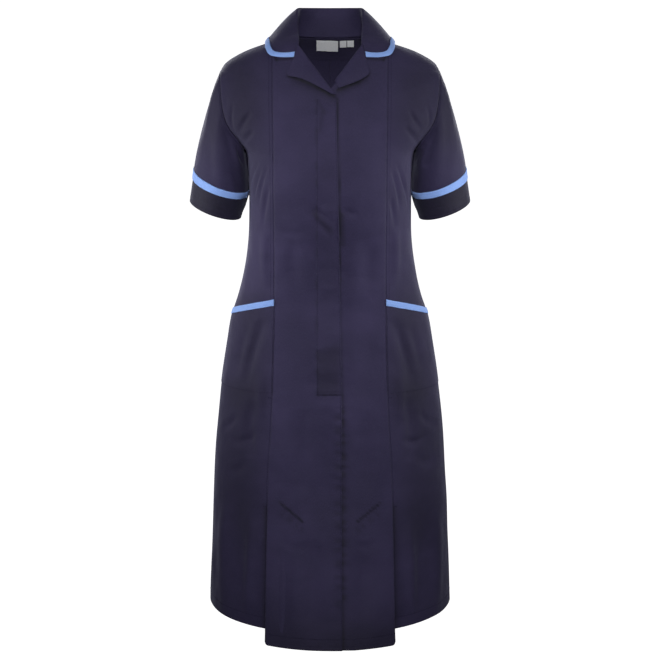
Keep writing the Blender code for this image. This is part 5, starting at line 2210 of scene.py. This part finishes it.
def creases() -> tuple[Crease, ...]:
    """Main creases of the body, listed one by one."""
    front, back = Face.FRONT, Face.BACK
    rows = (
        # face, start x, z, middle x, z, end x, z, width, depth
        # drawn from the front of each armhole
        (front, -0.134, -0.126, -0.147, -0.141, -0.158, -0.162, 0.0056, 0.0037),
        (front, -0.131, -0.158, -0.141, -0.168, -0.153, -0.182, 0.0048, 0.0027),
        (front, -0.168, -0.112, -0.172, -0.134, -0.170, -0.158, 0.0048, 0.0024),
        (front, 0.136, -0.122, 0.146, -0.139, 0.159, -0.158, 0.0052, 0.0034),
        (front, 0.128, -0.152, 0.141, -0.165, 0.154, -0.184, 0.0056, 0.0031),
        (front, 0.166, -0.116, 0.173, -0.132, 0.172, -0.156, 0.0048, 0.0022),
        # slanted from the bust to the side seam
        (front, -0.107, -0.218, -0.118, -0.246, -0.126, -0.290, 0.0055, 0.0035),
        (front, -0.116, -0.222, -0.127, -0.245, -0.134, -0.276, 0.0050, 0.0030),
        (front, -0.104, -0.250, -0.112, -0.280, -0.119, -0.330, 0.0060, 0.0032),
        (front, -0.124, -0.214, -0.134, -0.232, -0.141, -0.256, 0.0050, 0.0026),
        (front, 0.105, -0.222, 0.116, -0.252, 0.123, -0.300, 0.0060, 0.0035),
        (front, 0.114, -0.216, 0.126, -0.243, 0.133, -0.272, 0.0050, 0.0032),
        (front, 0.122, -0.232, 0.131, -0.256, 0.137, -0.296, 0.0050, 0.0024),
        (front, 0.104, -0.270, 0.110, -0.296, 0.116, -0.336, 0.0060, 0.0024),
        # soft folds of the waist
        (front, -0.112, -0.330, -0.116, -0.378, -0.113, -0.440, 0.0120, -0.0039),
        (front, 0.113, -0.322, 0.117, -0.372, 0.114, -0.436, 0.0120, -0.0039),
        (front, -0.060, -0.350, -0.066, -0.392, -0.058, -0.440, 0.0170, 0.0032),
        (front, 0.058, -0.338, 0.068, -0.388, 0.060, -0.446, 0.0180, 0.0032),
        (front, -0.030, -0.290, -0.012, -0.300, 0.004, -0.318, 0.0070, 0.0035),
        (front, -0.026, -0.312, -0.010, -0.322, 0.002, -0.344, 0.0080, 0.0024),
        (front, 0.020, -0.288, 0.034, -0.298, 0.048, -0.296, 0.0070, 0.0024),
        (front, -0.046, -0.330, -0.062, -0.336, -0.084, -0.330, 0.0060, 0.0014),
        # bumps and crumples over the hidden fastening
        (front, -0.022, -0.105, -0.008, -0.112, 0.006, -0.122, 0.0060, 0.0020),
        (front, -0.016, -0.130, -0.010, -0.145, -0.006, -0.170, 0.0070, 0.0018),
        (front, -0.014, -0.286, -0.001, -0.290, 0.012, -0.288, 0.0100, -0.0022),
        (front, 0.010, -0.300, 0.011, -0.330, 0.010, -0.356, 0.0050, 0.0026),
        (front, -0.014, -0.430, -0.004, -0.434, 0.010, -0.432, 0.0080, -0.0018),
        (front, -0.036, -0.506, -0.001, -0.510, 0.034, -0.504, 0.0160, -0.0018),
        (front, -0.040, -0.548, -0.002, -0.556, 0.038, -0.550, 0.0150, 0.0012),
        (front, -0.038, -0.594, -0.002, -0.602, 0.036, -0.598, 0.0150, 0.0012),
        # hollows under the lower edges of the lapels
        (front, -0.0720, -0.0655, -0.0420, -0.0755, -0.0100, -0.0905, 0.0045, 0.0024),
        (front, 0.0660, -0.0630, 0.0450, -0.0765, 0.0200, -0.0860, 0.0045, 0.0022),
        # below the pocket bands
        (front, -0.116, -0.492, -0.140, -0.556, -0.150, -0.616, 0.0120, 0.0079),
        (front, -0.142, -0.500, -0.160, -0.552, -0.168, -0.600, 0.0130, 0.0042),
        (front, 0.110, -0.490, 0.134, -0.552, 0.147, -0.620, 0.0120, 0.0073),
        (front, 0.140, -0.504, 0.156, -0.548, 0.162, -0.590, 0.0120, 0.0039),
        (front, -0.118, -0.590, -0.124, -0.622, -0.120, -0.668, 0.0110, -0.0049),
        (front, 0.118, -0.588, 0.126, -0.624, 0.121, -0.672, 0.0110, -0.0046),
        # side panels of the skirt
        (front, -0.166, -0.668, -0.182, -0.690, -0.196, -0.700, 0.0080, 0.0039),
        (front, -0.132, -0.690, -0.152, -0.714, -0.178, -0.716, 0.0090, 0.0042),
        (front, -0.136, -0.640, -0.146, -0.690, -0.140, -0.742, 0.0130, 0.0056),
        (front, -0.150, -0.745, -0.168, -0.770, -0.190, -0.772, 0.0100, 0.0028),
        (front, 0.160, -0.662, 0.178, -0.684, 0.196, -0.690, 0.0090, 0.0039),
        (front, 0.130, -0.704, 0.150, -0.716, 0.176, -0.708, 0.0080, 0.0042),
        (front, 0.134, -0.636, 0.146, -0.684, 0.143, -0.748, 0.0130, 0.0053),
        (front, 0.154, -0.738, 0.172, -0.756, 0.192, -0.752, 0.0100, 0.0028),
        (front, -0.160, -0.800, -0.170, -0.880, -0.166, -1.000, 0.0276, 0.0048),
        (front, -0.190, -0.840, -0.198, -0.920, -0.196, -1.040, 0.0207, -0.0039),
        (front, 0.162, -0.790, 0.172, -0.880, 0.170, -1.010, 0.0276, 0.0046),
        (front, 0.192, -0.850, 0.200, -0.925, 0.197, -1.044, 0.0207, -0.0039),
        (front, -0.140, -0.850, -0.145, -0.930, -0.150, -1.030, 0.0140, -0.0053),
        (front, 0.142, -0.860, 0.147, -0.940, 0.150, -1.034, 0.0140, -0.0049),
        # centre panel of the skirt
        (front, -0.048, -0.650, -0.052, -0.730, -0.048, -0.800, 0.0200, 0.0053),
        (front, 0.000, -0.646, -0.006, -0.740, 0.000, -0.850, 0.0220, 0.0059),
        (front, 0.056, -0.652, 0.060, -0.730, 0.056, -0.810, 0.0220, 0.0046),
        (front, -0.020, -0.880, -0.030, -0.950, -0.024, -1.040, 0.0260, 0.0059),
        (front, 0.052, -0.890, 0.060, -0.960, 0.054, -1.046, 0.0240, 0.0053),
        (front, -0.076, -0.888, -0.082, -0.960, -0.080, -1.040, 0.0180, 0.0039),
        (front, -0.086, -0.880, -0.064, -0.892, -0.038, -0.886, 0.0080, 0.0024),
        (front, 0.040, -0.880, 0.062, -0.890, 0.086, -0.884, 0.0080, 0.0024),
        # back: shoulder blades, waist and skirt
        (back, -0.150, -0.120, -0.128, -0.140, -0.104, -0.148, 0.0110, 0.0032),
        (back, 0.152, -0.116, 0.130, -0.134, 0.108, -0.146, 0.0110, 0.0030),
        (back, -0.140, -0.168, -0.118, -0.186, -0.094, -0.192, 0.0090, 0.0024),
        (back, 0.142, -0.172, 0.120, -0.192, 0.092, -0.200, 0.0090, 0.0027),
        (back, -0.020, -0.300, -0.052, -0.318, -0.094, -0.322, 0.0100, 0.0041),
        (back, 0.016, -0.312, 0.050, -0.330, 0.098, -0.326, 0.0100, 0.0038),
        (back, -0.028, -0.340, -0.060, -0.356, -0.112, -0.350, 0.0100, 0.0046),
        (back, 0.022, -0.352, 0.062, -0.370, 0.110, -0.362, 0.0110, 0.0041),
        (back, -0.016, -0.384, -0.050, -0.396, -0.100, -0.386, 0.0090, 0.0032),
        (back, 0.020, -0.398, 0.056, -0.408, 0.104, -0.398, 0.0090, 0.0030),
        (back, -0.068, -0.470, -0.080, -0.560, -0.076, -0.680, 0.0200, 0.0054),
        (back, 0.064, -0.480, 0.078, -0.570, 0.080, -0.700, 0.0210, 0.0057),
        (back, -0.120, -0.620, -0.128, -0.760, -0.134, -0.940, 0.0260, 0.0076),
        (back, 0.118, -0.600, 0.130, -0.760, 0.130, -0.960, 0.0260, 0.0073),
        (back, -0.036, -0.700, -0.044, -0.840, -0.050, -1.030, 0.0260, 0.0081),
        (back, 0.040, -0.720, 0.046, -0.860, 0.040, -1.036, 0.0280, 0.0076),
        (back, -0.086, -0.780, -0.092, -0.900, -0.096, -1.040, 0.0200, -0.0059),
        (back, 0.088, -0.800, 0.090, -0.910, 0.088, -1.040, 0.0210, -0.0062),
        (back, -0.176, -0.760, -0.186, -0.880, -0.184, -1.030, 0.0230, -0.0054),
        (back, 0.174, -0.780, 0.184, -0.890, 0.186, -1.034, 0.0230, -0.0054),
    )
    return tuple(
        Crease(face, (x1, z1), (x2, z2), (x3, z3), width, depth)
        for face, x1, z1, x2, z2, x3, z3, width, depth in rows
    )


def shades() -> tuple[Shade, ...]:
    """Painted shade: places where the cloth's colour is darkened to stand in for shadows and for light
    falling off, seen from the front.
    """
    fronts, panels = ("cloth_front", "cloth_placket"), ("cloth_front", "cloth_side_front")
    band, left, right, sides = "cloth_placket", "cloth_front_left", "cloth_front_right", "cloth_side_front"
    skirt, sleeve, cuff = ("cloth_side_front", "cloth_pocket"), "cloth_sleeve", "cloth_cuff"
    pairs = (
        # pieces, start x, z, end x, z, width, amount, pitch, on both sides alike
        # painted shadow under the collar's binding
        (panels, 0.0970, -0.0320, 0.0920, -0.0378, 0.0022, 0.65, 0.0),
        (panels, 0.0920, -0.0378, 0.0640, -0.0352, 0.0022, 0.65, 0.0),
        # painted shade along the slanted stitches of the kick pleats and in the crumples below them
        (fronts, 0.0885, -0.8180, 0.0490, -0.8470, 0.0021, 0.88, 0.0),
        (fronts, 0.0860, -0.8350, 0.0520, -0.8600, 0.0060, 0.30, 0.0140),
        # painted shadow beside the edges of the centre panel, over the kick pleats
        (sides, 0.1130, -0.8300, 0.1180, -1.0600, 0.0060, 0.55, 0.0),
        # painted shade on the skirt's side panels and pocket bands
        (skirt, 0.1600, -0.6500, 0.1600, -0.8700, 0.0440, 0.34, 0.0),
        ("trim_pocket", 0.1650, -0.4700, 0.1000, -0.4600, 0.0300, 0.18, 0.0),
    )
    rows = (
        # pieces, start x, z, end x, z, width, amount, pitch
        # painted shadows under the lower edges of the lapels
        (fronts, -0.0730, -0.0645, -0.0490, -0.0712, 0.0022, 0.85, 0.0),
        (fronts, -0.0490, -0.0712, -0.0185, -0.0852, 0.0027, 0.95, 0.0),
        (fronts, -0.0185, -0.0852, 0.0065, -0.0982, 0.0027, 0.95, 0.0),
        (fronts, -0.0600, -0.0720, 0.0040, -0.1010, 0.0080, 0.35, 0.0),
        (fronts, 0.0670, -0.0615, 0.0480, -0.0752, 0.0022, 0.85, 0.0),
        (fronts, 0.0480, -0.0752, 0.0265, -0.0829, 0.0026, 0.90, 0.0),
        (fronts, 0.0265, -0.0829, 0.0128, -0.0880, 0.0024, 0.90, 0.0),
        (fronts, 0.0600, -0.0700, 0.0160, -0.0900, 0.0070, 0.35, 0.0),
        # painted shade over the hidden fastening
        (band, -0.0020, -0.2100, -0.0010, -0.5100, 0.0200, 0.12, 0.0),
        (band, -0.0190, -0.5520, -0.0190, -0.6250, 0.0100, 0.34, 0.0),
        (band, -0.0040, -0.5480, -0.0040, -0.6250, 0.0110, 0.36, 0.0),
        (band, 0.0120, -0.5440, 0.0120, -0.6250, 0.0110, 0.36, 0.0),
        (fronts, -0.0290, -0.2960, 0.0000, -0.3290, 0.0055, 0.34, 0.0),
        (fronts, -0.0240, -0.1030, -0.0100, -0.1240, 0.0035, 0.30, 0.0),
        (fronts, -0.0130, -0.1260, -0.0180, -0.1560, 0.0040, 0.24, 0.0),
        (fronts, -0.0235, -0.1150, -0.0235, -0.6200, 0.0030, 0.30, 0.0420),
        (left, 0.0215, -0.3000, 0.0225, -0.3560, 0.0035, 0.55, 0.0),
        # lapped edge, with painted shadows of the puckers below the placket
        (left, 0.0128, -0.1020, 0.0154, -0.2400, 0.0020, 0.80, 0.0),
        (left, 0.0154, -0.2400, 0.0186, -0.4200, 0.0022, 0.60, 0.0600),
        (left, 0.0154, -0.2400, 0.0213, -0.6200, 0.0018, 0.60, 0.0),
        (left, 0.0228, -0.6250, 0.0238, -1.0600, 0.0030, 0.45, 0.0),
        (left, 0.0235, -0.6500, 0.0240, -0.9900, 0.0070, 0.40, 0.0190),
        (right, 0.0145, -0.6600, 0.0160, -0.9900, 0.0075, 0.34, 0.0210),
        # painted shadow at the end of the placket
        (fronts, -0.0230, -0.6250, 0.0220, -0.6250, 0.0024, 0.40, 0.0110),
        # painted shade where less light falls on the skirt's side panels
        (skirt, -0.1400, -0.4900, -0.1440, -0.6100, 0.0420, 0.44, 0.0),
        (skirt, 0.1400, -0.4900, 0.1440, -0.6100, 0.0420, 0.48, 0.0),
        # painted shade on the shoulders, sleeves and cuffs, where less light falls
        (sides, -0.1550, -0.0700, -0.1450, -0.1350, 0.0420, 0.52, 0.0),
        (sides, 0.1550, -0.0700, 0.1450, -0.1350, 0.0420, 0.46, 0.0),
        (sleeve, -0.1980, -0.0700, -0.2120, -0.1700, 0.0360, 0.46, 0.0),
        (sleeve, 0.1980, -0.0700, 0.2120, -0.1700, 0.0360, 0.40, 0.0),
        (sleeve, -0.1480, -0.2000, -0.1500, -0.2800, 0.0220, 0.34, 0.0),
        (sleeve, 0.1480, -0.2000, 0.1500, -0.2800, 0.0220, 0.36, 0.0),
        (cuff, -0.2450, -0.2800, -0.1450, -0.3050, 0.0900, 0.78, 0.0),
        (cuff, 0.2450, -0.2800, 0.1450, -0.3050, 0.0900, 0.80, 0.0),
        # painted shade at the hem of the centre panel
        ("cloth_front", -0.0900, -1.0700, 0.0900, -1.0700, 0.0600, 0.50, 0.0),
        # painted shade inside the neck, round the facing
        ("cloth_neck_facing", -0.0600, -0.0100, 0.0600, -0.0100, 0.0400, 0.45, 0.0),
    )
    other_side = tuple((on, -x1, z1, -x2, z2, *rest) for on, x1, z1, x2, z2, *rest in pairs)
    return tuple(
        Shade(on, (x1, z1), (x2, z2), *rest) for on, x1, z1, x2, z2, *rest in rows + pairs + other_side
    )


def puckers() -> tuple[Pucker, ...]:
    """Ripples along the main lines of stitches."""
    front, back = Face.FRONT, Face.BACK
    rows = (
        # face, start x, z, end x, z, width, depth, pitch
        (front, 0.0190, -0.640, 0.0200, -1.050, 0.0080, 0.0013, 0.0150),
        (front, 0.0125, -0.115, 0.0200, -0.620, 0.0050, 0.0006, 0.0210),
        (front, -0.0235, -0.115, -0.0235, -0.620, 0.0050, 0.0006, 0.0190),
        (front, -0.0235, -0.622, 0.0200, -0.622, 0.0070, 0.0008, 0.0100),
        (front, 0.0885, -0.817, 0.0490, -0.846, 0.0100, 0.0012, 0.0105),
        (front, -0.0885, -0.817, -0.0490, -0.846, 0.0100, 0.0012, 0.0115),
        (front, 0.0990, -0.060, 0.0980, -0.380, 0.0050, 0.0003, 0.0170),
        (front, -0.0990, -0.060, -0.0980, -0.380, 0.0050, 0.0003, 0.0180),
        (front, 0.0984, -0.380, 0.1030, -0.630, 0.0050, 0.0004, 0.0150),
        (front, -0.0984, -0.380, -0.1030, -0.630, 0.0050, 0.0004, 0.0160),
        (back, 0.0, -0.060, 0.0, -1.030, 0.0055, 0.0004, 0.0185),
    )
    return tuple(
        Pucker(face, (x1, z1), (x2, z2), width, depth, pitch)
        for face, x1, z1, x2, z2, width, depth, pitch in rows
    )


def main() -> None:
    """Build the dress in its studio."""
    logging.basicConfig(level=logging.INFO, format="%(name)s: %(message)s")
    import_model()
    solid_box = [list(corner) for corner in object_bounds()]
    Studio().build()
    room = Workroom()
    figure = Figure()
    bodice = Bodice(room, figure, Drape(figure, creases(), puckers()))
    bodice.build()
    Sleeve(room, figure).build()
    Neck(room, bodice, figure).build()
    Pleats(room, figure).build()
    room.stitched()
    dressed_box = [list(corner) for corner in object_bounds()]
    for low, high in zip(solid_box, dressed_box):
        LOG.info("solid %s, dressed %s", [round(v, 4) for v in low], [round(v, 4) for v in high])


if __name__ == "__main__":
    main()
